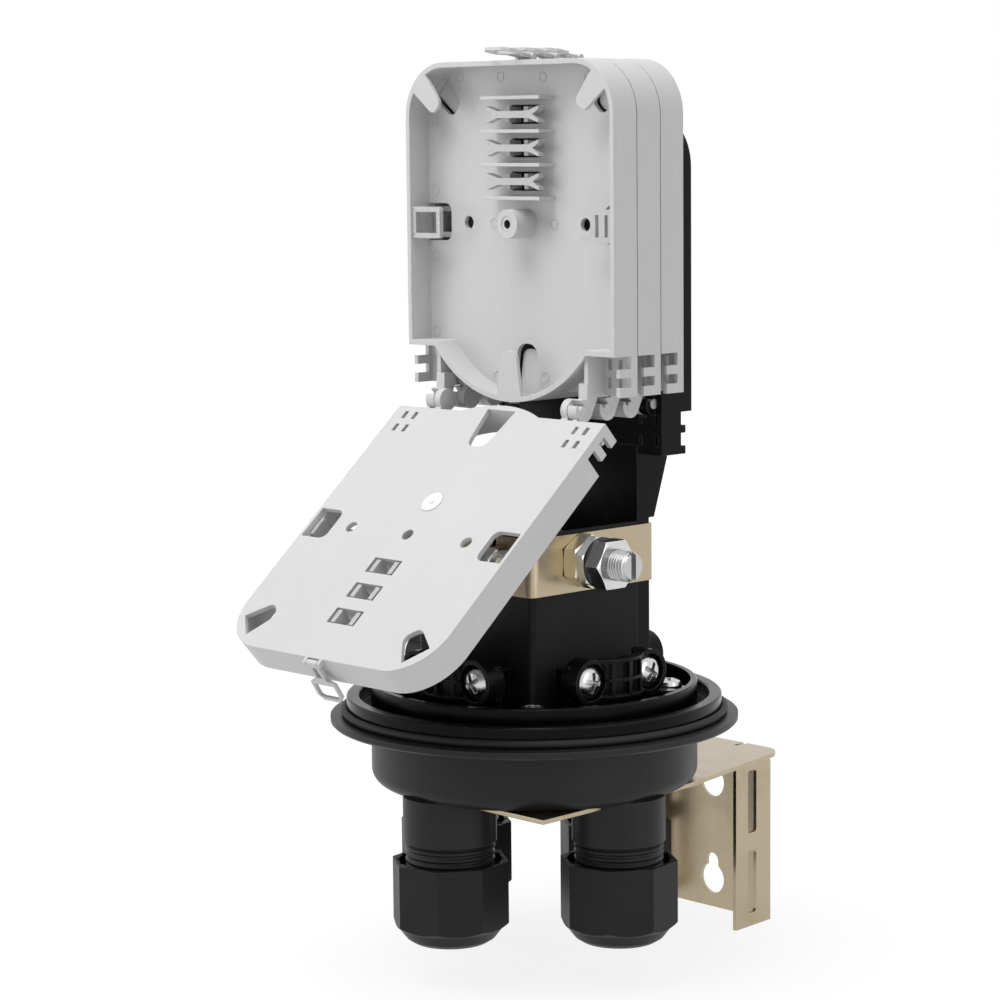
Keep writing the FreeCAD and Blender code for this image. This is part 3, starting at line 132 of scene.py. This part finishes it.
# An edge counts as sharp where the cosine between its rounded and its plain normal is below this; the painted edge
# highlight starts there
EDGE_START = 0.985


class Value:
    """A shader socket that Python arithmetic turns into Math nodes."""

    def __init__(self, network, socket):
        self.network = network
        self.socket = socket

    def maths(self, operation, *others, swap=False):
        terms = [self, *others]
        if swap:
            terms.reverse()
        return self.network.node(
            "ShaderNodeMath", {"operation": operation}, dict(enumerate(terms)))["Value"]

    def __add__(self, other):
        return self.maths("ADD", other)

    __radd__ = __add__

    def __mul__(self, other):
        return self.maths("MULTIPLY", other)

    __rmul__ = __mul__

    def __sub__(self, other):
        return self.maths("SUBTRACT", other)

    def __rsub__(self, other):
        return self.maths("SUBTRACT", other, swap=True)

    def power(self, exponent):
        return self.maths("POWER", exponent)

    def larger(self, other):
        return self.maths("MAXIMUM", other)

    def clamped(self):
        return self.maths("MINIMUM", 1.0).larger(0.0)


class Network:
    """The nodes of one material or world, each made through the same method."""

    def __init__(self, tree):
        self.tree = tree
        self.tree.nodes.clear()

    def node(self, kind, settings=None, inputs=None):
        made = self.tree.nodes.new(kind)
        for name, value in (settings or {}).items():
            if name == "stops":
                self.set_stops(made.color_ramp.elements, value)
            else:
                setattr(made, name, value)
        for name, value in (inputs or {}).items():
            self.feed(made.inputs[name], value)
        return {out.name: Value(self, out) for out in made.outputs if out.enabled}

    def set_stops(self, ramp, stops):
        while len(ramp) < len(stops):
            ramp.new(0.5)
        for stop, (at, colour) in zip(ramp, stops):
            stop.position = at
            stop.color = (*colour, 1.0)

    def feed(self, socket, value):
        if isinstance(value, Value):
            self.tree.links.new(value.socket, socket)
        elif socket.type == "RGBA":
            socket.default_value = (*value, 1.0)
        else:
            socket.default_value = value

    def blended(self, factor, first, second):
        return self.node("ShaderNodeMixShader", None, {0: factor, 1: first, 2: second})["Shader"]

    def seen(self):
        """One for what the camera sees, straight, in a reflection or through something clear."""
        path = self.node("ShaderNodeLightPath")
        return path["Is Camera Ray"].larger(path["Is Glossy Ray"]).larger(path["Is Transmission Ray"])


class Finish(Network):
    """A procedural material on Object coordinates, in metres."""

    def __init__(self, name):
        self.material = bpy.data.materials.new(name)
        self.material.use_nodes = True
        super().__init__(self.material.node_tree)
        self.place = self.node("ShaderNodeTexCoord")["Object"]

    def noise(self, scale, detail=3.0, roughness=0.55, stretch=None, distortion=0.0):
        place = self.place
        if stretch:
            place = self.node("ShaderNodeMapping", None, {"Vector": place, "Scale": stretch})["Vector"]
        return self.node("ShaderNodeTexNoise", None, {
            "Vector": place, "Scale": scale, "Detail": detail, "Roughness": roughness,
            "Distortion": distortion})["Fac"]

    def mixed(self, factor, first, second):
        return self.node("ShaderNodeMix", {"data_type": "RGBA"}, {0: factor, 6: first, 7: second})["Result"]

    def ramp(self, factor, *stops):
        return self.node("ShaderNodeValToRGB", {"stops": stops}, {"Fac": factor})["Color"]

    def bump(self, height, distance, strength=1.0, normal=None):
        inputs = {"Height": height, "Distance": distance, "Strength": strength}
        if normal:
            inputs["Normal"] = normal
        return self.node("ShaderNodeBump", None, inputs)["Normal"]

    def soft_edges(self, radius):
        """A normal that rounds sharp edges by a small radius in the light."""
        return self.node("ShaderNodeBevel", {"samples": 6}, {"Radius": radius})["Normal"]

    def edges(self, rounded, gain):
        """Up to one along a sharp edge, from the turn between its rounded and its plain normal; it places the
        painted edge highlight.
        """
        plain = self.node("ShaderNodeNewGeometry")["Normal"]
        along = self.node(
            "ShaderNodeVectorMath", {"operation": "DOT_PRODUCT"}, {0: rounded, 1: plain})["Value"]
        return ((EDGE_START - along) * gain).clamped()

    def output(self, shader):
        self.node("ShaderNodeOutputMaterial", None, {"Surface": shader})
        return self.material

    def shader(self, **inputs):
        named = {name.replace("_", " "): value for name, value in inputs.items()}
        return self.node("ShaderNodeBsdfPrincipled", None, named)["BSDF"]

    def surface(self, **inputs):
        return self.output(self.shader(**inputs))


def black_moulding(name, colour, gloss, low, high, grain, hatched=False, polish_and_painted_shade_above=None):
    """Satin black plastic with fine grain, faint dust and a painted highlight along sharp edges.

    The tower has a diagonal hatch too, and the base is polished above its flange, where its colour is also
    darkened as painted shade.
    """
    finish = Finish(name)
    cloud = finish.noise(45, 4)
    fine = finish.noise(grain, 2, 0.7)
    dust = finish.noise(700, 2, 0.8).power(7.0)
    tone = finish.mixed(
        (cloud * 0.5 + dust * 1.2).clamped(), colour, [part * 1.8 + 0.003 for part in colour])
    rounded = finish.soft_edges(0.0006)
    # Painted highlight: a paler grey is mixed into the colour along sharp edges
    sharp = finish.edges(rounded, 2.5) * 0.9
    tone = finish.mixed(sharp, tone, (0.10, 0.10, 0.102))
    normal = finish.bump(fine, 0.00006, 0.5, rounded)
    if hatched:
        wave = finish.node("ShaderNodeTexWave", {"wave_type": "BANDS", "bands_direction": "DIAGONAL"}, {
            "Vector": finish.place, "Scale": 480.0})["Fac"]
        tone = finish.mixed(wave * 0.35, tone, (0.020, 0.020, 0.021))
        normal = finish.bump(wave, 0.0002, 0.8, normal)
    satin = finish.shader(
        Base_Color=tone, Roughness=(cloud * (high - low) + low + fine * 0.05).clamped(),
        Specular_IOR_Level=gloss, Normal=normal)
    if polish_and_painted_shade_above is None:
        return finish.output(satin)
    # Painted shade above the flange: the colour drops to a fifth, with the painted edge highlight on it; the lower
    # roughness is the real polish
    shade_and_edge_highlight_tone = finish.mixed(sharp, [part * 0.2 for part in colour], (0.12, 0.12, 0.122))
    polished = finish.shader(
        Base_Color=shade_and_edge_highlight_tone, Roughness=(cloud * 0.16 + 0.12).clamped(), Specular_IOR_Level=gloss * 0.45,
        Normal=normal)
    height = finish.node("ShaderNodeSeparateXYZ", None, {0: finish.place})["Z"]
    return finish.output(finish.blended(((height - polish_and_painted_shade_above) * 1000).clamped(), satin, polished))


def grey_moulding(name, paler=0.0):
    """Light grey tray plastic with faint flow marks, a satin skin and a painted highlight along sharp edges."""
    finish = Finish(name)
    flow = finish.noise(16, 3, 0.5, (1.0, 1.0, 0.45), 0.6)
    fine = finish.noise(1600, 2, 0.7)
    scuff = finish.noise(220, 4, 0.75, (1.0, 1.0, 0.25)).power(5.0)
    tone = finish.mixed(
        flow, [part + paler for part in (0.55, 0.55, 0.552)], [part + paler for part in (0.60, 0.60, 0.602)])
    tone = finish.mixed((scuff * 1.2).clamped(), tone, (0.68, 0.68, 0.682))
    rounded = finish.soft_edges(0.0004)
    # Painted highlight: a near white grey is mixed into the colour along sharp edges
    tone = finish.mixed(finish.edges(rounded, 2.0) * 0.6, tone, (0.80, 0.80, 0.802))
    normal = finish.bump(fine, 0.00003, 0.5, rounded)
    return finish.surface(
        Base_Color=tone, Roughness=(flow * 0.14 + 0.36 + scuff * 0.3).clamped(),
        Specular_IOR_Level=0.45, Normal=normal)


def clear_moulding(name):
    """Milky clip plastic that lets a little light through."""
    finish = Finish(name)
    haze = finish.noise(120, 3)
    tone = finish.mixed(haze, (0.54, 0.54, 0.545), (0.64, 0.64, 0.645))
    return finish.surface(
        Base_Color=tone, Roughness=(haze * 0.16 + 0.2).clamped(), Transmission_Weight=0.22, IOR=1.49)


def yellow_zinc(name):
    """Zinc plated sheet with a pale beige, slightly cloudy passivation and rolling grain, and a painted highlight
    along sharp edges.
    """
    finish = Finish(name)
    cloud = finish.noise(22, 4, 0.6, None, 1.2)
    patch = finish.noise(60, 3, 0.6)
    grain = finish.noise(260, 3, 0.6, (1.0, 1.0, 0.06))
    tone = finish.ramp(
        cloud, (0.28, (0.36, 0.295, 0.195)), (0.46, (0.43, 0.355, 0.245)), (0.60, (0.41, 0.35, 0.25)),
        (0.74, (0.45, 0.365, 0.26)))
    tone = finish.mixed((patch * 0.5).clamped(), tone, (0.50, 0.435, 0.32))
    rounded = finish.soft_edges(0.0004)
    # Painted highlight: a pale cream is mixed into the colour along sharp edges
    tone = finish.mixed(finish.edges(rounded, 2.0) * 0.6, tone, (0.80, 0.74, 0.60))
    normal = finish.bump(grain, 0.00008, 0.25, rounded)
    return finish.surface(
        Base_Color=tone, Metallic=1.0, Roughness=(patch * 0.18 + grain * 0.12 + 0.14).clamped(),
        Normal=normal)


def plated_steel(name, colour, low):
    """Bright plated steel with turned marks and light handling wear."""
    finish = Finish(name)
    cloud = finish.noise(120, 4, 0.6)
    fine = finish.noise(2200, 2, 0.7)
    tone = finish.mixed(cloud, [part * 0.8 for part in colour], colour)
    normal = finish.bump(fine, 0.00004, 0.4, finish.soft_edges(0.0003))
    return finish.surface(
        Base_Color=tone, Metallic=1.0, Roughness=(cloud * 0.2 + low).clamped(), Normal=normal)


def seal_rubber(name):
    """Matt black rubber."""
    finish = Finish(name)
    cloud = finish.noise(160, 4)
    fine = finish.noise(1500, 2, 0.7)
    tone = finish.mixed(cloud, (0.010, 0.010, 0.011), (0.022, 0.022, 0.023))
    return finish.surface(
        Base_Color=tone, Roughness=(cloud * 0.2 + 0.5).clamped(), Specular_IOR_Level=0.25,
        Normal=finish.bump(fine, 0.00005, 0.6))


# By material slot, then by node where a node differs from the others in its slot
FINISHES = {
    "black_moulding": black_moulding("deep black moulding", (0.004, 0.004, 0.0042), 0.10, 0.16, 0.3, 900),
    "black_nut": black_moulding("grained black nut", (0.012, 0.012, 0.0125), 0.16, 0.34, 0.5, 650),
    "seal_rubber": seal_rubber("seal rubber"),
    "grey_tray": grey_moulding("light grey tray"),
    "clear_clip": clear_moulding("milky clip"),
    "yellow_zinc": yellow_zinc("yellow zinc plate"),
    "bright_steel": plated_steel("bright zinc steel", (0.70, 0.70, 0.705), 0.14),
    "dark_steel": plated_steel("dark spring steel", (0.10, 0.10, 0.10), 0.3),
}
INSERT_FINISH = plated_steel("dull insert steel", (0.42, 0.42, 0.42), 0.34)
NODE_FINISHES = {
    "tower_housing": black_moulding(
        "hatched tower black", (0.005, 0.005, 0.0052), 0.10, 0.26, 0.4, 900, hatched=True),
    "base_housing": black_moulding(
        "base black moulding", (0.013, 0.013, 0.0135), 0.20, 0.3, 0.46, 900, polish_and_painted_shade_above=0.0),
    "stud_inner_nut": plated_steel("polished gold zinc", (0.95, 0.86, 0.66), 0.26),
    **{"tray_insert_%d" % number: INSERT_FINISH for number in range(1, 5)},
}
STUD_FINISH = plated_steel("cut stud steel", (0.56, 0.56, 0.565), 0.2)
MARK_FINISH = grey_moulding("ejector mark grey", -0.1)
GATE_FINISH = grey_moulding("pale gate grey", 0.22)


def dress_nodes():
    """Gives every CAD node its finish."""
    slots = {part["node"]: part["material_slot"] for part in frame["record"]["subparts"]}
    for name, thing in frame["nodes"].items():
        material = NODE_FINISHES.get(name) or FINISHES[slots[name]]
        if not thing.material_slots:
            thing.data.materials.append(material)
        for slot in thing.material_slots:
            slot.material = material


def placed(name, shape, material):
    """Makes an object of a shape, at the origin and with the shape's place in its mesh."""
    mesh = bpy.data.meshes.new(name)
    shape.to_mesh(mesh)
    shape.free()
    mesh.materials.append(material)
    thing = bpy.data.objects.new(name, mesh)
    bpy.context.collection.objects.link(thing)
    return thing


def add_piece(name, shapes, body, material):
    """Joins closed shapes into one piece that rides on a body."""
    whole = bmesh.new()
    for shape in shapes:
        bmesh.ops.recalc_face_normals(shape, faces=shape.faces)
        mesh = bpy.data.meshes.new(name + "_shape")
        shape.to_mesh(mesh)
        shape.free()
        whole.from_mesh(mesh)
        bpy.data.meshes.remove(mesh)
    thing = placed(name, whole, material)
    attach(thing, body)
    return thing


def trimmed(shape, place, outward):
    """Cuts away what lies outward of a plane and closes the cut."""
    everything = shape.verts[:] + shape.edges[:] + shape.faces[:]
    cut = bmesh.ops.bisect_plane(
        shape, geom=everything, dist=1e-7, plane_co=place, plane_no=outward, clear_outer=True)
    rim = [piece for piece in cut["geom_cut"] if isinstance(piece, bmesh.types.BMEdge)]
    bmesh.ops.holes_fill(shape, edges=rim, sides=0)


def threaded_rod(start, end, tip):
    """A thread along X from start to end, its crest chamfered towards the tip."""
    steps = 32
    turns = math.ceil((end - start) / THREAD_PITCH) + 2
    root = STUD_RADIUS - THREAD_DEPTH
    # each point is a share of the pitch and a radius, from root over crest to root
    flank = [(0.0, root), (0.4, STUD_RADIUS), (0.52, STUD_RADIUS), (0.92, root), (1.0, root)]
    shape = bmesh.new()
    profile = [shape.verts.new((start + (along - 1) * THREAD_PITCH, 0, out)) for along, out in flank]
    edges = [shape.edges.new(pair) for pair in zip(profile, profile[1:])]
    bmesh.ops.spin(
        shape, geom=profile + edges, cent=(0, 0, 0), axis=(1, 0, 0), dvec=(THREAD_PITCH / steps, 0, 0),
        angle=math.tau * turns, steps=steps * turns, use_merge=False, use_normal_flip=False,
        use_duplicate=False, space=Matrix())
    bmesh.ops.remove_doubles(shape, verts=shape.verts, dist=THREAD_PITCH * 0.02)
    trimmed(shape, (start, 0, 0), (-1, 0, 0))
    trimmed(shape, (end, 0, 0), (1, 0, 0))
    for vertex in shape.verts:
        across = Vector((0, vertex.co.y, vertex.co.z))
        limit = STUD_RADIUS - max(0.0, vertex.co.x - (tip - STUD_CHAMFER))
        if across.length > limit:
            across *= limit / across.length
            vertex.co = Vector((vertex.co.x, across.y, across.z))
    return shape


def make_stud():
    """The earth stud with its hexagon head, real thread and slotted end."""
    low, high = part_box("earth_stud")
    centre = Vector((0, (low.y + high.y) / 2, (low.z + high.z) / 2))
    slot_floor = high.x - STUD_SLOT_DEPTH
    head = bmesh.new()
    corner = (high.y - low.y) / 2
    bmesh.ops.create_cone(
        head, cap_ends=True, cap_tris=False, segments=6, radius1=corner, radius2=corner, depth=STUD_HEAD)
    turn = Matrix.Rotation(math.pi / 6, 4, "X") @ Matrix.Rotation(math.pi / 2, 4, "Y")
    bmesh.ops.transform(head, matrix=turn, verts=head.verts)
    bmesh.ops.translate(head, vec=(low.x + STUD_HEAD / 2, 0, 0), verts=head.verts)
    shapes = [head, threaded_rod(low.x + STUD_HEAD, slot_floor, high.x)]
    for side in (-1, 1):
        half = threaded_rod(slot_floor, high.x, high.x)
        trimmed(half, (0, side * STUD_SLOT_WIDTH / 2, 0), (0, -side, 0))
        shapes.append(half)
    for shape in shapes:
        bmesh.ops.translate(shape, vec=centre, verts=shape.verts)
    stud = add_piece("threaded_stud", shapes, "base", STUD_FINISH)
    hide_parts("earth_stud")


def low_disc(radius, height, centre):
    """A flat round pad with a soft rim on a tray's back, which looks along Y."""
    shape = bmesh.new()
    bmesh.ops.create_cone(
        shape, cap_ends=True, cap_tris=False, segments=40, radius1=radius, radius2=radius, depth=2 * height)
    top = [edge for edge in shape.edges if all(vertex.co.z > 0 for vertex in edge.verts)]
    bmesh.ops.bevel(
        shape, geom=top, offset=height * 0.8, offset_type="OFFSET", segments=2, profile=0.5, affect="EDGES",
        material=-1)
    bmesh.ops.rotate(
        shape, cent=(0, 0, 0), matrix=Matrix.Rotation(-math.pi / 2, 3, "X"), verts=shape.verts)
    bmesh.ops.translate(shape, vec=centre, verts=shape.verts)
    return shape


def spun(shape, corners, edges, axis, steps):
    """Turns a profile once round an axis through the origin and joins its ends."""
    bmesh.ops.spin(
        shape, geom=corners + edges, cent=(0, 0, 0), axis=axis, dvec=(0, 0, 0), angle=math.tau, steps=steps,
        use_merge=True, use_normal_flip=False, use_duplicate=False, space=Matrix())


def ring_mark(centre):
    """A fine raised circle on a tray's floor, as an ejector pin leaves it."""
    shape = bmesh.new()
    rim = [(EJECTOR_RADIUS - EJECTOR_RIM, -EJECTOR_HEIGHT),
           (EJECTOR_RADIUS - EJECTOR_RIM / 2, EJECTOR_HEIGHT),
           (EJECTOR_RADIUS, -EJECTOR_HEIGHT)]
    corners = [shape.verts.new((out, -up, 0)) for out, up in rim]
    edges = [shape.edges.new((corners[turn - 1], corners[turn])) for turn in range(3)]
    spun(shape, corners, edges, (0, 1, 0), 36)
    bmesh.ops.translate(shape, vec=centre, verts=shape.verts)
    return shape


def sink_cross(shape):
    """Cuts the crown of a screw along the sides of a cross and pushes the cross in."""
    for normal in (Vector((1, 0, 0)), Vector((0, 1, 0))):
        for side in (-RECESS_HALF, RECESS_HALF):
            crown = [face for face in shape.faces if face.calc_center_median().z > CROWN_LEVEL]
            around = dict.fromkeys(piece for face in crown for piece in (*face.verts, *face.edges))
            bmesh.ops.bisect_plane(
                shape, geom=crown + list(around), dist=1e-4, plane_co=normal * side, plane_no=normal)
    sunk = []
    for face in shape.faces:
        middle = face.calc_center_median()
        in_arm = min(abs(middle.x), abs(middle.y)) < RECESS_HALF and middle.xy.length < RECESS_REACH
        if middle.z > CROWN_LEVEL and in_arm:
            sunk.append(face)
    moved = bmesh.ops.extrude_face_region(shape, geom=sunk)["geom"]
    bmesh.ops.delete(shape, geom=sunk, context="FACES")
    floor_points = [piece for piece in moved if isinstance(piece, bmesh.types.BMVert)]
    bmesh.ops.scale(shape, vec=(RECESS_TAPER, RECESS_TAPER, 1), verts=floor_points)
    bmesh.ops.translate(shape, vec=(0, 0, -RECESS_DEPTH), verts=floor_points)


def domed_screw(place, outward, turn):
    """A clamp screw with a domed head and a sunk cross."""
    shape = bmesh.new()
    profile = [shape.verts.new((out, 0, up)) for out, up in SCREW_PROFILE]
    edges = [shape.edges.new(pair) for pair in zip(profile, profile[1:])]
    spun(shape, profile, edges, (0, 0, 1), SCREW_STEPS)
    bmesh.ops.remove_doubles(shape, verts=shape.verts, dist=0.001)
    sink_cross(shape)
    facing = outward.to_track_quat("Z", "Y").to_matrix() @ Matrix.Rotation(turn, 3, "Z")
    bmesh.ops.scale(shape, vec=(MM, MM, MM), verts=shape.verts)
    bmesh.ops.rotate(shape, cent=(0, 0, 0), matrix=facing, verts=shape.verts)
    bmesh.ops.translate(shape, vec=place, verts=shape.verts)
    return shape


def make_clamp_screws():
    """Two domed screws in each cable clamp's ears, each cross stopped at another angle."""
    shapes = []
    for quarter in range(4):
        outward = Matrix.Rotation(quarter * math.pi / 2, 3, "Z") @ Vector((1, 0, 0))
        across = Matrix.Rotation(math.pi / 2, 3, "Z") @ outward
        for side in (-1, 1):
            place = outward * SCREW_SEAT + across * side * SCREW_SPREAD + Vector((0, 0, SCREW_LEVEL))
            stop = math.radians(25 + 50 * quarter + 35 * side)
            shapes.append(domed_screw(place, outward, stop))
    screws = add_piece("domed_clamp_screws", shapes, "base", FINISHES["bright_steel"])
    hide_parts("clamp_screws")


def fold_down(shape, hinge):
    """Swings an upright shape down with the folded front tray."""
    bmesh.ops.rotate(shape, cent=hinge, matrix=Matrix.Rotation(TRAY_FOLD, 3, "X"), verts=shape.verts)


def make_tray_marks():
    """Ejector marks on the trays' floors, and the gate face with its nub on their backs."""
    hinge = next(Vector(joint["pos_m"]) for joint in frame["joints"] if joint["name"] == "tray_1_hinge")
    for number in range(1, 5):
        # tray_1 hinges just in front of tray 2's front
        tray_front = hinge.y + HINGE_BACK + (number - 2) * TRAY_PITCH
        floor_face = tray_front + TRAY_DEPTH - TRAY_FLOOR
        marks = [ring_mark((side * MM, floor_face, level * MM)) for side, level in EJECTOR_MARKS]
        gate_centre = (0, tray_front + TRAY_DEPTH + GATE_HEIGHT, GATE_LEVEL)
        gate = [low_disc(GATE_RADIUS, GATE_SKIN, gate_centre), low_disc(NUB_RADIUS, NUB_HEIGHT, gate_centre)]
        if number == 1:
            for shape in marks + gate:
                fold_down(shape, hinge)
        body = "tray_%d" % number
        add_piece("ejector_marks_%d" % number, marks, body, MARK_FINISH)
        add_piece("gate_face_%d" % number, gate, body, GATE_FINISH)


def camera():
    """Long-lens view from the front right, a little above level."""
    right = Vector((math.cos(VIEW_TURN), math.sin(VIEW_TURN), 0))
    back = Vector((
        math.sin(VIEW_TURN) * math.cos(VIEW_RISE), -math.cos(VIEW_TURN) * math.cos(VIEW_RISE),
        math.sin(VIEW_RISE)))
    up = back.cross(right)
    aim = Vector((0, 0, AIM_LEVEL)) + right * AIM_SIDE
    across = right * math.cos(VIEW_ROLL) + up * math.sin(VIEW_ROLL)
    upward = up * math.cos(VIEW_ROLL) - right * math.sin(VIEW_ROLL)
    data = bpy.data.cameras.new("camera")
    data.sensor_width = 36
    data.lens = VIEW_LENS
    data.clip_start, data.clip_end = 0.05, 50
    thing = bpy.data.objects.new("camera", data)
    turn = Matrix((across, upward, back)).transposed().to_4x4()
    thing.matrix_world = Matrix.Translation((aim + back * VIEW_DISTANCE) * MM) @ turn
    bpy.context.collection.objects.link(thing)
    bpy.context.scene.camera = thing


def softbox(name, place, width, height, power):
    """A rectangular light that faces the middle of the object."""
    data = bpy.data.lights.new(name, "AREA")
    data.shape = "RECTANGLE"
    data.size, data.size_y, data.energy = width, height, power
    thing = bpy.data.objects.new(name, data)
    thing.location = place
    thing.rotation_euler = (Vector(place) - Vector(SOFTBOX_AIM)).to_track_quat("Z", "Y").to_euler()
    bpy.context.collection.objects.link(thing)


def studio():
    """Soft light from above and both sides, before a white surround."""
    for name, box in SOFTBOXES.items():
        softbox(name, *box)
    world = bpy.data.worlds.new("studio")
    bpy.context.scene.world = world
    world.use_nodes = True
    surround = Network(world.node_tree)
    plain, white = [
        surround.node("ShaderNodeBackground", None, {"Color": (1, 1, 1), "Strength": strength})["Background"]
        for strength in (FILL, 1.0)]
    surround.node("ShaderNodeOutputWorld", None, {"Surface": surround.blended(surround.seen(), plain, white)})
    bpy.context.scene.view_settings.view_transform = "Standard"


def floor():
    """A pale floor that looks white and keeps a faint shadow close to the object."""
    finish = Finish("pale floor")
    speck = finish.noise(40, 2)
    tone = finish.mixed(speck, (0.78, 0.78, 0.78), (0.80, 0.80, 0.80))
    matt = finish.shader(Base_Color=tone, Roughness=0.9)
    white = finish.node("ShaderNodeEmission", None, {"Color": (1, 1, 1), "Strength": FLOOR_GLOW})["Emission"]
    reach = finish.node("ShaderNodeVectorMath", {"operation": "LENGTH"}, {0: finish.place})["Value"]
    share = (reach * 0.8 + 0.7).clamped()
    finish.output(finish.blended(finish.seen() * share, matt, white))
    shape = bmesh.new()
    bmesh.ops.create_grid(shape, x_segments=1, y_segments=1, size=4)
    bmesh.ops.translate(shape, vec=(0, 0, CAD_BOX[0][2] - FLOOR_DROP), verts=shape.verts)
    placed("floor", shape, finish.material)


dress_nodes()
make_stud()
make_clamp_screws()
make_tray_marks()
camera()
studio()
floor()
